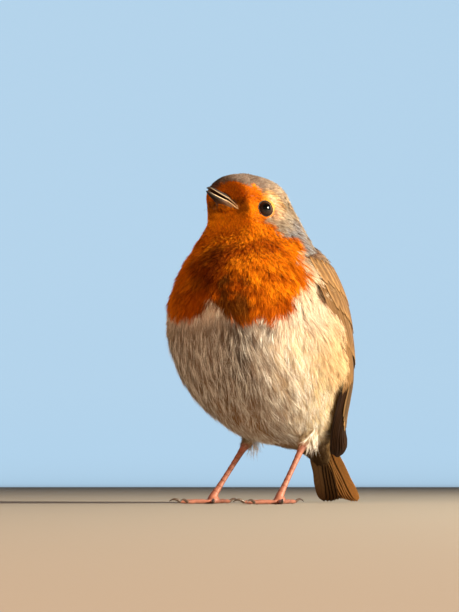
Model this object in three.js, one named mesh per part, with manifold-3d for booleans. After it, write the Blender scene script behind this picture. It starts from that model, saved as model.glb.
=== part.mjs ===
// A European robin (Erithacus rubecula) at life size, standing upright on both feet with its head
// turned a little to its right, its bill just open and the end of its tail resting on the floor.
// Millimetres, +Z up. The bird faces -Y, its left side is +X and the floor is Z = 0.
import * as THREE from 'three';
import { mergeVertices } from 'three/addons/utils/BufferGeometryUtils.js';
import Module from 'manifold-3d';

const wasm = await Module();
wasm.setup();

// ---- driving dimensions ----
const gap = 0.3;                     // clearance left between touching pieces
const ringSides = 32;                // points round the body
const cheekSpread = 3;               // widening at the belly line for each unit of cheek
const clearStep = 0.4;               // sections between rings of the body's clearance

// Sections of the body from the bill's base to the end of the under-tail feathers. Each row holds
// belly y, z, back y, z, half width, share of the way from belly to back where it is widest, and
// how far the cheek or throat swells below that line.
const bodySections = [
  [-18.6, 98.2, -18.9, 102.9, 3.0, 0.48, 0.4],
  [-18.6, 95.5, -19.3, 106.4, 7.2, 0.48, 0.7],
  [-18.0, 92.8, -15.2, 108.6, 9.8, 0.47, 1.2],
  [-17.8, 90.3, -6.0, 109.5, 11.5, 0.46, 1.7],
  [-19.2, 88.0, 6.0, 107.2, 12.9, 0.47, 1.6],
  [-21.6, 85.4, 11.0, 99.8, 15.4, 0.50, 1.0],
  [-24.8, 82.0, 15.2, 90.2, 19.4, 0.52, 0.4],
  [-28.8, 76.4, 20.4, 80.0, 24.3, 0.52, 0],
  [-32.2, 68.2, 26.0, 69.0, 28.0, 0.52, 0],
  [-33.0, 59.2, 29.4, 57.5, 29.4, 0.52, 0],
  [-29.8, 49.2, 32.0, 47.5, 29.0, 0.52, 0],
  [-22.8, 38.7, 33.8, 40.0, 26.8, 0.52, 0],
  [-12.0, 29.3, 35.6, 34.0, 22.3, 0.50, 0],
  [0.0, 22.6, 37.8, 28.5, 16.2, 0.50, 0],
  [20.0, 19.0, 40.2, 24.2, 10.2, 0.50, 0],
  [29.5, 18.0, 42.3, 21.0, 6.8, 0.50, 0],
  [35.6, 16.0, 44.6, 18.2, 4.4, 0.50, 0],
  [41.0, 13.0, 47.0, 15.0, 2.0, 0.50, 0],
];
// Where the body is divided, in sections counted from the bill's base.
const bodyParts = [
  ['head', 0, 5.0, 0.3],
  ['neck', 5.0, 6.9, 0.4],
  ['breast', 6.9, 9.7, 0.5],
  ['belly', 9.7, 12.6, 0.5],
  ['vent', 12.6, 14.6, 0.5],
  ['undertail', 14.6, 17.0, 0.5],
];

const headTurn = 4 * Math.PI / 180;  // to the bird's right
const headTurnFrom = 78;             // height where the neck starts to twist
const headTurnTo = 98;               // height from which the whole head is turned
const headPivotY = -1;
const headCentre = new THREE.Vector3(0, -7.0, 98.2);
const headPitch = 18 * Math.PI / 180;

const eyeRadius = 2.9;
const eyeFacets = [16, 10];          // round it, and from pole to pole
const eyePlace = [2.0, -2.2, 8.9];   // forward, up and out from the head's centre
const eyeDent = { ahead: 2.2, out: 2.2, depth: 2.5, reach: 5.2 };
const gapePlace = [9.2, -4.4, 4.8];
const gapeDent = { depth: 2.0, reach: 3.2 };

// The bill: forward, half width, height of the upper half, depth of the lower half.
const billSections = [
  [9.0, 5.2, 1.3, 0.6],
  [10.6, 4.5, 1.8, 0.9],
  [12.0, 3.4, 2.0, 1.2],
  [13.4, 2.6, 1.95, 1.4],
  [17.0, 1.6, 1.55, 1.25],
  [20.0, 0.95, 1.05, 0.8],
  [21.6, 0.48, 0.56, 0.45],
  [22.2, 0.28, 0.3, 0.3],
];
const billSteps = 8;                 // facets over each half
const billGapeHeight = -3.0;
const gapeDrop = 2.0;                // the mouth line bends down by this at the corner of the mouth
const gapeDropFrom = 13.5;
const gapeDropTo = 9.0;
const lowerBillWidth = 0.85;         // share of the upper half's width
const upperTipHeight = -2.2;
const lowerTipHeight = -3.6;

// The folded wing, from the shoulder to the tip. Each row holds its belly-side edge, middle and
// back-side edge; the first rows lie over the body at a section, an angle from the back's midline
// and a height, and the last rows, free of the body, are points.
const wingOnBody = [
  [[6.5, 100, 0.5], [6.4, 76, 0.9], [6.3, 50, 0.5]],
  [[7.2, 100, 1.3], [7.2, 68, 1.6], [7.1, 38, 1.2]],
  [[8.3, 95, 1.5], [8.3, 62, 1.7], [8.2, 30, 1.5]],
  [[9.5, 88, 1.6], [9.4, 56, 1.7], [9.3, 24, 1.5]],
  [[10.8, 85, 1.6], [10.6, 52, 1.7], [10.5, 20, 1.6]],
  [[11.9, 92, 1.7], [11.7, 54, 1.9], [11.5, 19, 1.8]],
];
const wingPastBody = [
  [[18.8, 18.4, 25.8], [17.3, 28.4, 25.5], [10.6, 39.2, 27.0]],
  [[13.6, 23.8, 18.9], [14.6, 33.0, 18.6], [11.8, 38.6, 20.4]],
  [[11.8, 32.2, 15.7], [12.1, 33.6, 15.3], [11.6, 35.2, 15.9]],
];
const wingThickness = 1.5;
const wingTipRaise = { left: 0, right: 5.8 };  // the left tip hangs lower
const wingRaiseFrom = 4.5;           // row from which the tip is raised
const wingRaiseBack = 0.3;           // how far back it moves for each millimetre up
const wingRowSpacing = 11;           // millimetres between rows, roughly
const wingSteps = 6;                 // facets along and across each part of a wing
const wingParts = [
  ['wing_coverts', 0, 3.6],
  ['wing_secondaries', 3.6, 5.7],
  ['wing_primaries', 5.7, 8.0],
];

const tailRoot = new THREE.Vector3(0, 36.4, 30.4);
const tailTip = new THREE.Vector3(0, 57.2, 0.2);
const tailWidths = [[0, 5.2], [0.35, 6.4], [0.88, 8.5], [0.96, 8.1], [1, 6.2]];
const tailThickness = 1.0;
const tailRoof = 1.5;                // how far the tail's middle stands above its edges
const tailNotch = 1.6;
const tailNotchFrom = 0.8;           // share of the tail's length where its notch starts
const tailRoofFade = 0.8;            // share of the roof that is gone at the tip
const tailPlaces = [0, 0.12, 0.26, 0.42, 0.58, 0.74, 0.88, 0.96, 1];
const tailAcross = 8;

const footY = -4.2;
const ankleZ = 20.4;
const legs = [
  { side: 'left', foot: [10.8, footY], ankle: [12.9, 8.6], knee: [13.2, 14.2, 29] },
  { side: 'right', foot: [-14.9, footY], ankle: [-9.4, 8.2], knee: [-8.8, 13.6, 29] },
];
const shankRadii = [4.2, 3.6, 2.5, 1.5];
const shankSides = 12;
const tarsusRadii = [[0, 1.35], [0.12, 1.0], [0.5, 0.82], [0.88, 0.95], [1, 1.2]];
const tarsusShares = [0, 0.12, 0.3, 0.5, 0.7, 0.88, 1];
const tarsusSides = 10;
const soleHeight = 2.6;
const ballRadii = [[0, 1.7], [0.5, 2.1], [1.3, 2.1], [2.1, 1.6], [soleHeight, 0.8]];  // height, radius
const ballLength = 1.15;             // length of the ball of the foot over its width
const ballSides = 12;
const toes = [
  { name: 'toe_inner', angle: -34, length: 9.0, claw: 4.0 },
  { name: 'toe_middle', angle: 0, length: 13.0, claw: 4.4 },
  { name: 'toe_outer', angle: 32, length: 10.0, claw: 4.0 },
  { name: 'toe_hind', angle: 180, length: 7.0, claw: 5.6 },
];
const toeStart = 2.9;                // from the foot's centre to where a toe begins
const toeRadius = 0.72;
const toeHeight = 0.62;              // of a toe's middle line, a little less than its radius
const toeArch = 0.12;                // how far its middle is raised
const toeKnots = [0, 0.14, 0.36, 0.6, 0.82, 1];
const toeSwell = [0.95, 0.85, 1.05, 0.88, 1.0, 0.62];
const toeSides = 8;
const clawShares = [0, 0.3, 0.6, 0.85, 1];
const clawRadii = [0.5, 0.46, 0.4, 0.32, 0.26];
const clawSides = 7;
const clawCurve = { base: 0.62, rise: 1.1, fall: 0.42, bend: 0.85 * Math.PI };

// ---- materials ----
const finish = (color, roughness, metalness = 0) => ({ color, roughness, metalness });
const finishes = {
  orange: finish(0xc8620f, 0.9),
  greyBrown: finish(0x7d705e, 0.9),
  pale: finish(0xc9bda8, 0.9),
  brown: finish(0x6d5136, 0.85),
  dark: finish(0x463224, 0.7),
  horn: finish(0x2c211b, 0.4),
  leg: finish(0xa8674a, 0.55),
  eye: finish(0x140c08, 0.08),
};

// ---- shape helpers ----

// Catmull-Rom value of every column of rows at place t, counted in rows.
function sample(rows, t) {
  const last = rows.length - 1;
  const i = Math.min(Math.max(Math.floor(t), 0), last - 1);
  const f = t - i;
  const [a, b, c, d] = [i - 1, i, i + 1, i + 2].map((k) => rows[Math.min(Math.max(k, 0), last)]);
  return b.map((_, k) => 0.5 * (2 * b[k] + (c[k] - a[k]) * f
    + (2 * a[k] - 5 * b[k] + 4 * c[k] - d[k]) * f * f
    + (3 * b[k] - a[k] - 3 * c[k] + d[k]) * f * f * f));
}

// Straight-line value of [place, value] pairs.
function ramp(pairs, x) {
  const k = Math.max(1, pairs.findIndex(([place]) => place >= x));
  const [[x0, y0], [x1, y1]] = [pairs[k - 1], pairs[k]];
  return THREE.MathUtils.lerp(y0, y1, (x - x0) / (x1 - x0));
}

// Turns a point with the head: by the full angle above the neck, and by less down the neck.
function turnWithHead(point) {
  const share = THREE.MathUtils.smoothstep(point.z, headTurnFrom, headTurnTo);
  const pivot = new THREE.Vector3(0, headPivotY, 0);
  return point.clone().sub(pivot).applyAxisAngle(new THREE.Vector3(0, 0, 1), -headTurn * share).add(pivot);
}

// A point given forward, up and to the left of the head's centre, before the head is turned.
function inHead(forward, up, left) {
  return new THREE.Vector3(
    left,
    headCentre.y - Math.cos(headPitch) * forward + Math.sin(headPitch) * up,
    headCentre.z + Math.sin(headPitch) * forward + Math.cos(headPitch) * up,
  );
}

const dents = [
  { at: inHead(eyePlace[0] + eyeDent.ahead, eyePlace[1], eyePlace[2] + eyeDent.out), ...eyeDent },
  { at: inHead(...gapePlace), ...gapeDent },
];

// A point of the body's surface: place along it, and angle in degrees from the back's midline
// towards the left. The section is two half ellipses, one above and one below its widest line.
function bodyPoint(place, degrees, grow = 0) {
  const [bellyY, bellyZ, backY, backZ, halfWidth, level, cheek] = sample(bodySections, place);
  const angle = THREE.MathUtils.degToRad(degrees);
  const belly = new THREE.Vector2(bellyY, bellyZ);
  const back = new THREE.Vector2(backY, backZ);
  const centre = belly.clone().lerp(back, level);
  const up = back.clone().sub(belly).normalize().multiplyScalar(grow);
  const above = Math.max(Math.cos(angle), 0);
  const below = Math.max(-Math.cos(angle), 0);
  const flat = centre.clone()
    .addScaledVector(back.clone().add(up).sub(centre), above)
    .addScaledVector(belly.clone().sub(up).sub(centre), below);
  const point = new THREE.Vector3(
    Math.sin(angle) * (halfWidth + grow + cheekSpread * cheek * below * below),
    flat.x,
    flat.y,
  );
  for (const { at, depth, reach } of dents) {
    const mirrored = new THREE.Vector3(Math.abs(point.x), point.y, point.z);
    const near = Math.exp(-((mirrored.distanceTo(at) / reach) ** 2));
    point.x -= Math.sign(point.x) * depth * near;
  }
  return point;
}

// A closed solid through rings of equal count, each end closed by a fan round its middle.
function loft(rings) {
  const sides = rings[0].length;
  const points = rings.flat();
  const index = [];
  for (let i = 0; i < rings.length - 1; i += 1) {
    for (let j = 0; j < sides; j += 1) {
      const k = (j + 1) % sides;
      const [a, b, c, d] = [i * sides + j, i * sides + k, (i + 1) * sides + k, (i + 1) * sides + j];
      index.push(a, b, c, a, c, d);
    }
  }
  const ends = [[rings[0], 0, true], [rings.at(-1), points.length - sides, false]];
  for (const [ring, start, flip] of ends) {
    const middle = ring.reduce((sum, p) => sum.add(p), new THREE.Vector3()).divideScalar(sides);
    points.push(middle);
    for (let j = 0; j < sides; j += 1) {
      const [a, b] = [start + j, start + (j + 1) % sides];
      index.push(...(flip ? [b, a, points.length - 1] : [a, b, points.length - 1]));
    }
  }
  const geometry = new THREE.BufferGeometry().setFromPoints(points);
  geometry.setIndex(index);
  return faceOutward(geometry);
}

// Six times the volume inside a mesh's triangles.
function signedVolume(geometry) {
  const position = geometry.attributes.position;
  const corner = (k) => new THREE.Vector3().fromBufferAttribute(position, geometry.index.getX(k));
  let sum = 0;
  for (let k = 0; k < geometry.index.count; k += 3) {
    sum += corner(k).dot(corner(k + 1).cross(corner(k + 2)));
  }
  return sum;
}

function faceOutward(geometry) {
  if (signedVolume(geometry) < 0) {
    geometry.setIndex(Array.from(geometry.index.array).reverse());
  }
  return geometry;
}

// A round solid along a line of points, with a radius at each.
function tube(points, radii, sides) {
  const curve = new THREE.CatmullRomCurve3(points);
  const steps = points.length - 1;
  const frames = curve.computeFrenetFrames(steps, false);
  return points.map((_, i) => {
    const middle = curve.getPoint(i / steps);
    return Array.from({ length: sides }, (__, j) => {
      const angle = 2 * Math.PI * j / sides;
      return middle.clone()
        .addScaledVector(frames.normals[i], Math.cos(angle) * radii[i])
        .addScaledVector(frames.binormals[i], Math.sin(angle) * radii[i]);
    });
  });
}

const between = (low, high) => (ring) => (
  ring.map((p) => p.clone().setZ(THREE.MathUtils.clamp(p.z, low, high))));
const onFloor = between(0, Infinity);

function solid(geometry) {
  const merged = mergeVertices(geometry.deleteAttribute('normal').deleteAttribute('uv'), 1e-4);
  return new wasm.Manifold(new wasm.Mesh({
    numProp: 3,
    vertProperties: new Float32Array(merged.attributes.position.array),
    triVerts: new Uint32Array(merged.index.array),
  }));
}

function carve(geometry, ...tools) {
  const cut = tools.reduce((shape, tool) => shape.subtract(solid(tool)), solid(geometry));
  const pieces = cut.decompose().sort((a, b) => b.volume() - a.volume());
  const mesh = pieces[0].getMesh();
  const result = new THREE.BufferGeometry();
  result.setAttribute('position', new THREE.BufferAttribute(mesh.vertProperties, 3));
  result.setIndex(new THREE.BufferAttribute(mesh.triVerts, 1));
  return result;
}

// ---- the pieces ----
const bird = new THREE.Group();

function addPiece(name, geometry, look) {
  const piece = new THREE.Mesh(geometry, new THREE.MeshStandardMaterial(look));
  piece.name = name;
  bird.add(piece);
}

function bodyLoft(from, to, step, grow = 0) {
  const count = Math.ceil((to - from) / step);
  return loft(Array.from({ length: count + 1 }, (_, i) => {
    const place = from + (to - from) * i / count;
    return Array.from({ length: ringSides }, (__, j) => (
      turnWithHead(bodyPoint(place, 360 * j / ringSides, grow))));
  }));
}

// The body a little larger all round, to keep what lies on it clear.
const clearBody = bodyLoft(5.6, bodySections.length - 1, clearStep, gap);

function eyeball(side, grow = 0) {
  const centre = turnWithHead(inHead(eyePlace[0], eyePlace[1], side * eyePlace[2]));
  const ball = new THREE.SphereGeometry(eyeRadius + grow, ...eyeFacets);
  return ball.translate(centre.x, centre.y, centre.z);
}

// Height of a bill half's cutting edge: a straight line to its tip that bends down at the gape.
function billEdge(way, tipHeight, forward) {
  const [start] = billSections[0];
  const [end] = billSections.at(-1);
  const share = (forward - start) / (end - start);
  const straight = THREE.MathUtils.lerp(billGapeHeight + way * gap / 2, tipHeight, share);
  return straight - gapeDrop * (1 - THREE.MathUtils.smoothstep(forward, gapeDropTo, gapeDropFrom));
}

// One half of the bill: way is 1 for the upper half and -1 for the lower.
function billHalf(way, tipHeight, grow = 0) {
  const width = way > 0 ? 1 : lowerBillWidth;
  return loft(billSections.map(([forward, halfWidth, upper, lower], i) => {
    const edge = billEdge(way, tipHeight, forward);
    const height = (way > 0 ? upper : lower) + grow;
    const reach = halfWidth * width + grow;
    const along = forward + (i === 0 ? -grow : grow);
    const arc = Array.from({ length: billSteps + 1 }, (_, j) => {
      const angle = Math.PI * j / billSteps;
      return [Math.cos(angle) * reach, Math.sin(angle) * height];
    });
    const under = [-0.5, 0, 0.5].map((share) => [share * reach, -grow]);
    arc[0][1] -= grow;
    arc[billSteps][1] -= grow;
    return [...arc, ...under].map(([across, rise]) => (
      turnWithHead(inHead(along, edge + way * rise, across))));
  }));
}

// How many sections one millimetre is at a place, where the back and belly lines run fastest.
function sectionsPerMillimetre(place) {
  const small = 0.05;
  const [bellyY0, bellyZ0, backY0, backZ0] = sample(bodySections, place - small);
  const [bellyY1, bellyZ1, backY1, backZ1] = sample(bodySections, place + small);
  const back = Math.hypot(backY1 - backY0, backZ1 - backZ0);
  const belly = Math.hypot(bellyY1 - bellyY0, bellyZ1 - bellyZ0);
  return 2 * small / Math.min(back, belly);
}

function addHeadAndBody() {
  const sockets = [
    eyeball(1, gap), eyeball(-1, gap),
    billHalf(1, upperTipHeight, gap), billHalf(-1, lowerTipHeight, gap),
  ];
  const looks = {
    head: finishes.orange,
    neck: finishes.orange,
    breast: finishes.orange,
    belly: finishes.pale,
    vent: finishes.pale,
    undertail: finishes.pale,
  };
  for (const [name, from, to, step] of bodyParts) {
    const start = from === 0 ? 0 : from + 0.5 * gap * sectionsPerMillimetre(from);
    const isLast = to === bodySections.length - 1;
    const end = isLast ? to : to - 0.5 * gap * sectionsPerMillimetre(to);
    const whole = bodyLoft(start, end, step);
    addPiece(name, name === 'head' ? carve(whole, ...sockets) : whole, looks[name]);
  }
  addPiece('eye_left', eyeball(1), finishes.eye);
  addPiece('eye_right', eyeball(-1), finishes.eye);
  addPiece('bill_upper', billHalf(1, upperTipHeight), finishes.horn);
  addPiece('bill_lower', billHalf(-1, lowerTipHeight), finishes.horn);
}

const wingRows = [
  ...wingOnBody.map((row) => row.map((spot) => bodyPoint(...spot).toArray())),
  ...wingPastBody,
].map((row) => row.flat());

// A point of the left wing's outer face: place in rows, and 0 to 1 from its belly-side edge to its
// back-side edge on the parabola through the row's three points.
function wingPoint(place, across, raise) {
  const row = sample(wingRows, place);
  const weights = [
    (1 - across) * (1 - 2 * across),
    4 * across * (1 - across),
    across * (2 * across - 1),
  ];
  const point = new THREE.Vector3(...[0, 1, 2].map((k) => (
    weights[0] * row[k] + weights[1] * row[3 + k] + weights[2] * row[6 + k])));
  const lift = raise * THREE.MathUtils.smoothstep(place, wingRaiseFrom, wingRows.length - 1);
  return point.add(new THREE.Vector3(0, wingRaiseBack * lift, lift));
}

function wingNormal(place, across, raise) {
  const small = 0.02;
  const at = (p, q) => wingPoint(p, q, raise);
  const along = at(place + small, across).sub(at(place - small, across));
  const over = at(place, across + small).sub(at(place, across - small));
  const normal = over.cross(along).normalize();
  return normal.x < 0 ? normal.negate() : normal;
}

function wingSlab(from, to, sign, raise) {
  const lastSlope = wingRows.length - 1.1;  // the tip has no width, so its slope is taken before it
  return loft(Array.from({ length: wingSteps + 1 }, (_, i) => {
    const place = THREE.MathUtils.lerp(from, to, i / wingSteps);
    const shares = Array.from({ length: wingSteps + 1 }, (__, j) => j / wingSteps);
    const outer = shares.map((share) => wingPoint(place, share, raise));
    const inner = outer.map((p, j) => {
      const normal = wingNormal(Math.min(place, lastSlope), shares[j], raise);
      return p.clone().addScaledVector(normal, -wingThickness);
    });
    return [...outer, ...inner.reverse()].map((p) => p.setX(p.x * sign));
  }));
}

function addWings() {
  const shades = [finishes.brown, finishes.brown, finishes.dark];
  const halfGap = 0.5 * gap / wingRowSpacing;
  for (const [side, sign] of [['left', 1], ['right', -1]]) {
    wingParts.forEach(([name, from, to], k) => {
      const start = from === 0 ? 0 : from + halfGap;
      const end = to === wingRows.length - 1 ? to : to - halfGap;
      const slab = wingSlab(start, end, sign, wingTipRaise[side]);
      addPiece(`${name}_${side}`, carve(slab, clearBody), shades[k]);
    });
  }
}

function addTail() {
  const along = tailTip.clone().sub(tailRoot);
  const length = along.length();
  along.normalize();
  const above = new THREE.Vector3(0, -along.z, along.y);
  const rings = tailPlaces.map((place) => {
    const halfWidth = ramp(tailWidths, place);
    const line = (lift) => Array.from({ length: tailAcross + 1 }, (_, j) => {
      const x = 2 * j / tailAcross - 1;
      const middle = 1 - x * x;
      const notch = tailNotch * middle * THREE.MathUtils.smoothstep(place, tailNotchFrom, 1);
      return tailRoot.clone()
        .addScaledVector(along, place * length - notch)
        .addScaledVector(above, lift + tailRoof * middle * (1 - tailRoofFade * place))
        .setX(x * halfWidth);
    });
    return onFloor([...line(tailThickness / 2), ...line(-tailThickness / 2).reverse()]);
  });
  addPiece('tail', carve(loft(rings), clearBody), finishes.brown);
}

function addLeg({ side, foot, ankle, knee }) {
  const [footX, footYPlace] = foot;
  const top = new THREE.Vector3(ankle[0], ankle[1], ankleZ);
  const base = new THREE.Vector3(footX, footYPlace, soleHeight + gap);
  const down = base.clone().sub(top);

  // The feathered shank, from inside the belly down to the ankle.
  const hip = new THREE.Vector3(...knee);
  const shankEnd = top.clone().addScaledVector(down, -gap / down.length());
  const shankPoints = shankRadii.map((_, i) => hip.clone().lerp(shankEnd, i / (shankRadii.length - 1)));
  const shankRings = tube(shankPoints, shankRadii, shankSides);
  const shank = loft(shankRings.map(between(ankleZ + gap, Infinity)));
  addPiece(`shank_${side}`, carve(shank, clearBody), finishes.pale);

  const tarsusPoints = tarsusShares.map((share) => top.clone().addScaledVector(down, share));
  const radii = tarsusShares.map((share) => ramp(tarsusRadii, share));
  const tarsusRings = tube(tarsusPoints, radii, tarsusSides).map(between(soleHeight + gap, ankleZ));
  addPiece(`tarsus_${side}`, loft(tarsusRings), finishes.leg);

  // The ball of the foot: a low dome, wider in front, with a flat sole.
  const ballRings = ballRadii.map(([z, radius]) => Array.from({ length: ballSides }, (_, j) => {
    const angle = 2 * Math.PI * j / ballSides;
    const ahead = footYPlace + radius * ballLength * Math.sin(angle);
    return new THREE.Vector3(footX + radius * Math.cos(angle), ahead, z);
  }));
  addPiece(`foot_${side}`, loft(ballRings), finishes.leg);

  for (const { name, angle, length, claw } of toes) {
    const turn = THREE.MathUtils.degToRad(angle) * (side === 'left' ? 1 : -1);
    const way = new THREE.Vector3(-Math.sin(turn), -Math.cos(turn), 0);
    const at = (reach, z) => new THREE.Vector3(footX, footYPlace, z).addScaledVector(way, reach);

    // Each toe is a low arch of joints with pads, flat where it meets the floor.
    const archAt = (share) => toeHeight + toeArch * Math.sin(Math.PI * share);
    const toePoints = toeKnots.map((share) => at(toeStart + share * length, archAt(share)));
    const toeRings = tube(toePoints, toeSwell.map((swell) => swell * toeRadius), toeSides);
    addPiece(`${name}_${side}`, loft(toeRings.map(onFloor)), finishes.leg);

    const clawStart = toeStart + length + gap;
    const { base: clawBase, rise, fall, bend } = clawCurve;
    const clawHeight = (share) => clawBase + rise * Math.sin(bend * share) - fall * share;
    const clawPoints = clawShares.map((share) => at(clawStart + share * claw, clawHeight(share)));
    const clawRings = tube(clawPoints, clawRadii, clawSides);
    addPiece(`claw_${name.slice(4)}_${side}`, loft(clawRings.map(onFloor)), finishes.horn);
  }
}

addHeadAndBody();
addWings();
addTail();
legs.forEach(addLeg);

// The origin is the middle of the part's box, at floor level.
const box = new THREE.Box3().setFromObject(bird);
const middle = box.getCenter(new THREE.Vector3());
bird.position.set(-middle.x, -middle.y, -box.min.z);
bird.updateMatrixWorld(true);

export default bird;
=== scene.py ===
import bpy
import numpy as np
from math import pi, radians
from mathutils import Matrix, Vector


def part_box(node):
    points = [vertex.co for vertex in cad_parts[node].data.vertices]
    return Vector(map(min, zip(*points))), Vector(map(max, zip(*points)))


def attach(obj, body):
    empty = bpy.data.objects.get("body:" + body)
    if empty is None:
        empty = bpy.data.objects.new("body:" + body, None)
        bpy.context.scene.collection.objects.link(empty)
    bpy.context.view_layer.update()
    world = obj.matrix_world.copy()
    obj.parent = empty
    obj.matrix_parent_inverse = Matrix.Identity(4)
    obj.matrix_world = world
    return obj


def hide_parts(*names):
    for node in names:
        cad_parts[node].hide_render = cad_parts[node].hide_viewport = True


# A robin: one skin, its coat of soft tufts, feather vanes for wings and tail, bill, eyes, legs.
# Shapes are worked out in millimetres with the bird facing -Y, its left at +X and the floor at 0,
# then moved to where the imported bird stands.

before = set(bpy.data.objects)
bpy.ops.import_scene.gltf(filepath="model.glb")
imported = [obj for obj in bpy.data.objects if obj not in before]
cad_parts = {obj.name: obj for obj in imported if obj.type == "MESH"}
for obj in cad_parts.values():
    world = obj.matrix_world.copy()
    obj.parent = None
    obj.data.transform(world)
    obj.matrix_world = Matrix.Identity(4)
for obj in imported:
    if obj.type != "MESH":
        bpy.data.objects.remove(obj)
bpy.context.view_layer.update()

footLow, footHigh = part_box("foot_left")
leftFoot = (10.8, -4.2)  # the middle of the left foot in the bird's own millimetres
shift = 500 * np.array([footLow.x + footHigh.x, footLow.y + footHigh.y, 0]) - [*leftFoot, 0]


# small tools
def unit(v):  # vectors at length 1
    return v / np.maximum(np.linalg.norm(v, axis=-1, keepdims=True), 1e-9)


def smooth(x, low, high):  # 0 below low, 1 above high, an S between
    s = np.clip((x - low) / (high - low), 0, 1)
    return s * s * (3 - 2 * s)


def span(x, low, full, fade, end):  # rises from low to full and falls from fade to end
    return smooth(x, low, full) * (1 - smooth(x, fade, end))


def bell(x, middle, width):  # 1 at the middle and near 0 two widths away
    return np.exp(-(((x - middle) / width) ** 2))


def ramp(x, pairs):  # straight-line value of (place, value) pairs
    places, values = np.array(pairs, float).T
    return np.interp(x, places, values)


def mix(a, b, share):  # a where the share is 0, b where it is 1
    share = np.asarray(share, float)[..., None]
    return np.asarray(a) * (1 - share) + np.asarray(b) * share


def catmullRom(rows, t):  # value of every column of rows at place t, counted in rows
    rows = np.asarray(rows, float)
    t = np.asarray(t, float)
    last = len(rows) - 1
    i = np.clip(np.floor(t).astype(int), 0, last - 1)
    f = (t - i)[..., None]
    a, b, c, d = (rows[np.clip(i + k, 0, last)] for k in (-1, 0, 1, 2))
    return 0.5 * (2 * b + (c - a) * f + (2 * a - 5 * b + 4 * c - d) * f**2 + (3 * b - a - 3 * c + d) * f**3)


def parabola(s):  # weights of three values at 0, a half and 1
    return np.stack([(1 - s) * (1 - 2 * s), 4 * s * (1 - s), s * (2 * s - 1)], -1)


def waves(points, size, seed, count=9):  # smooth wander, mostly within -1 and 1: a sum of turned sine waves
    rng = np.random.default_rng(seed)
    ways = unit(rng.normal(size=(count, 3))) * 2 * pi / (size * rng.uniform(0.65, 1.5, (count, 1)))
    return np.sin(points @ ways.T + rng.uniform(0, 2 * pi, count)).sum(-1) / np.sqrt(count / 2) * 0.8


def frameOf(surface, u, v, handed=1):  # point, slope along u, slope along v and outward normal
    small = 0.01
    along = (surface(u + small, v) - surface(u - small, v)) / (2 * small)
    around = (surface(u, v + small) - surface(u, v - small)) / (2 * small)
    return surface(u, v), along, around, handed * unit(np.cross(around, along))


def handOf(surface, u, v, outwards):  # 1 if the surface's own normal points outwards there, else -1
    normal = frameOf(surface, np.array([u]), np.array([v]))[3][0]
    return 1 if normal @ outwards > 0 else -1


def radialOf(turn, e1, e2):  # unit vectors round a circle that e1 and e2 span
    return np.cos(turn)[..., None] * e1 + np.sin(turn)[..., None] * e2


def circleOf(sides):  # even steps once round
    return np.linspace(0, 2 * pi, sides, endpoint=False)


# a shape is its points, their colours and groups of faces, each with its corners and their places in two maps
def gridShape(points, colour, box=(0, 0, 1, 1), caps=True, lie=None):
    # a grid of points closed round its columns, each end shut by a fan; box is its place in the bake map
    rows, columns = points.shape[:2]
    i, j = np.meshgrid(np.arange(rows - 1), np.arange(columns), indexing="ij")
    ci, cj = i[..., None] + [0, 0, 1, 1], j[..., None] + [0, 1, 1, 0]
    quads = (ci * columns + cj % columns).reshape(-1, 4)
    x0, y0, x1, y1 = box
    inset = 0.03 if caps else 0.0

    def bakeAt(row, column):
        share = inset + (1 - 2 * inset) * row / (rows - 1)
        return np.stack([x0 + (x1 - x0) * column / columns, y0 + (y1 - y0) * share], -1)

    bake = bakeAt(ci, cj).reshape(-1, 4, 2)
    spots = points.reshape(-1, 3)
    colour = np.broadcast_to(colour, points.shape).reshape(-1, 3)
    faces = [[quads, bake, None if lie is None else lie.reshape(-1, 2)[quads]]]
    if caps:
        k = np.arange(columns)
        for end, row in enumerate((0, rows - 1)):
            a, b = row * columns + k, row * columns + (k + 1) % columns
            tip = np.full(columns, rows * columns + end)
            tris = np.stack([a, b, tip] if end else [b, a, tip], -1)
            edge = [k, k + 1, k + 0.5] if end else [k + 1, k, k + 0.5]
            past = (1 if end else -1) * inset * (rows - 1) / (1 - 2 * inset)
            rowAt = np.broadcast_to(np.array([row, row, row + past]), (columns, 3))
            capLie = None if lie is None else np.concatenate([lie.reshape(-1, 2), lie[[0, -1], 0]])[tris]
            faces.append([tris, bakeAt(rowAt, np.stack(edge, -1)), capLie])
        spots = np.concatenate([spots, [points[0].mean(0), points[-1].mean(0)]])
        colour = np.concatenate([colour, colour[[0, -1]]])
    return {"points": spots, "colour": colour, "faces": faces}


def outward(shape):  # turns a closed shape's faces the right way by the sign of its volume
    volume = 0.0
    for corners, _, _ in shape["faces"]:
        p = shape["points"][corners]
        for k in range(1, corners.shape[1] - 1):
            volume += np.einsum("ij,ij->i", p[:, 0], np.cross(p[:, k], p[:, k + 1])).sum()
    if volume < 0:
        shape["faces"] = [[None if k is None else k[:, ::-1] for k in face] for face in shape["faces"]]
    return shape


def join(shapes):  # several shapes as one
    starts = np.cumsum([0] + [len(s["points"]) for s in shapes])
    return {
        "points": np.concatenate([s["points"] for s in shapes]),
        "colour": np.concatenate([s["colour"] for s in shapes]),
        "faces": [[c + start, b, l] for s, start in zip(shapes, starts) for c, b, l in s["faces"]],
    }


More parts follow.
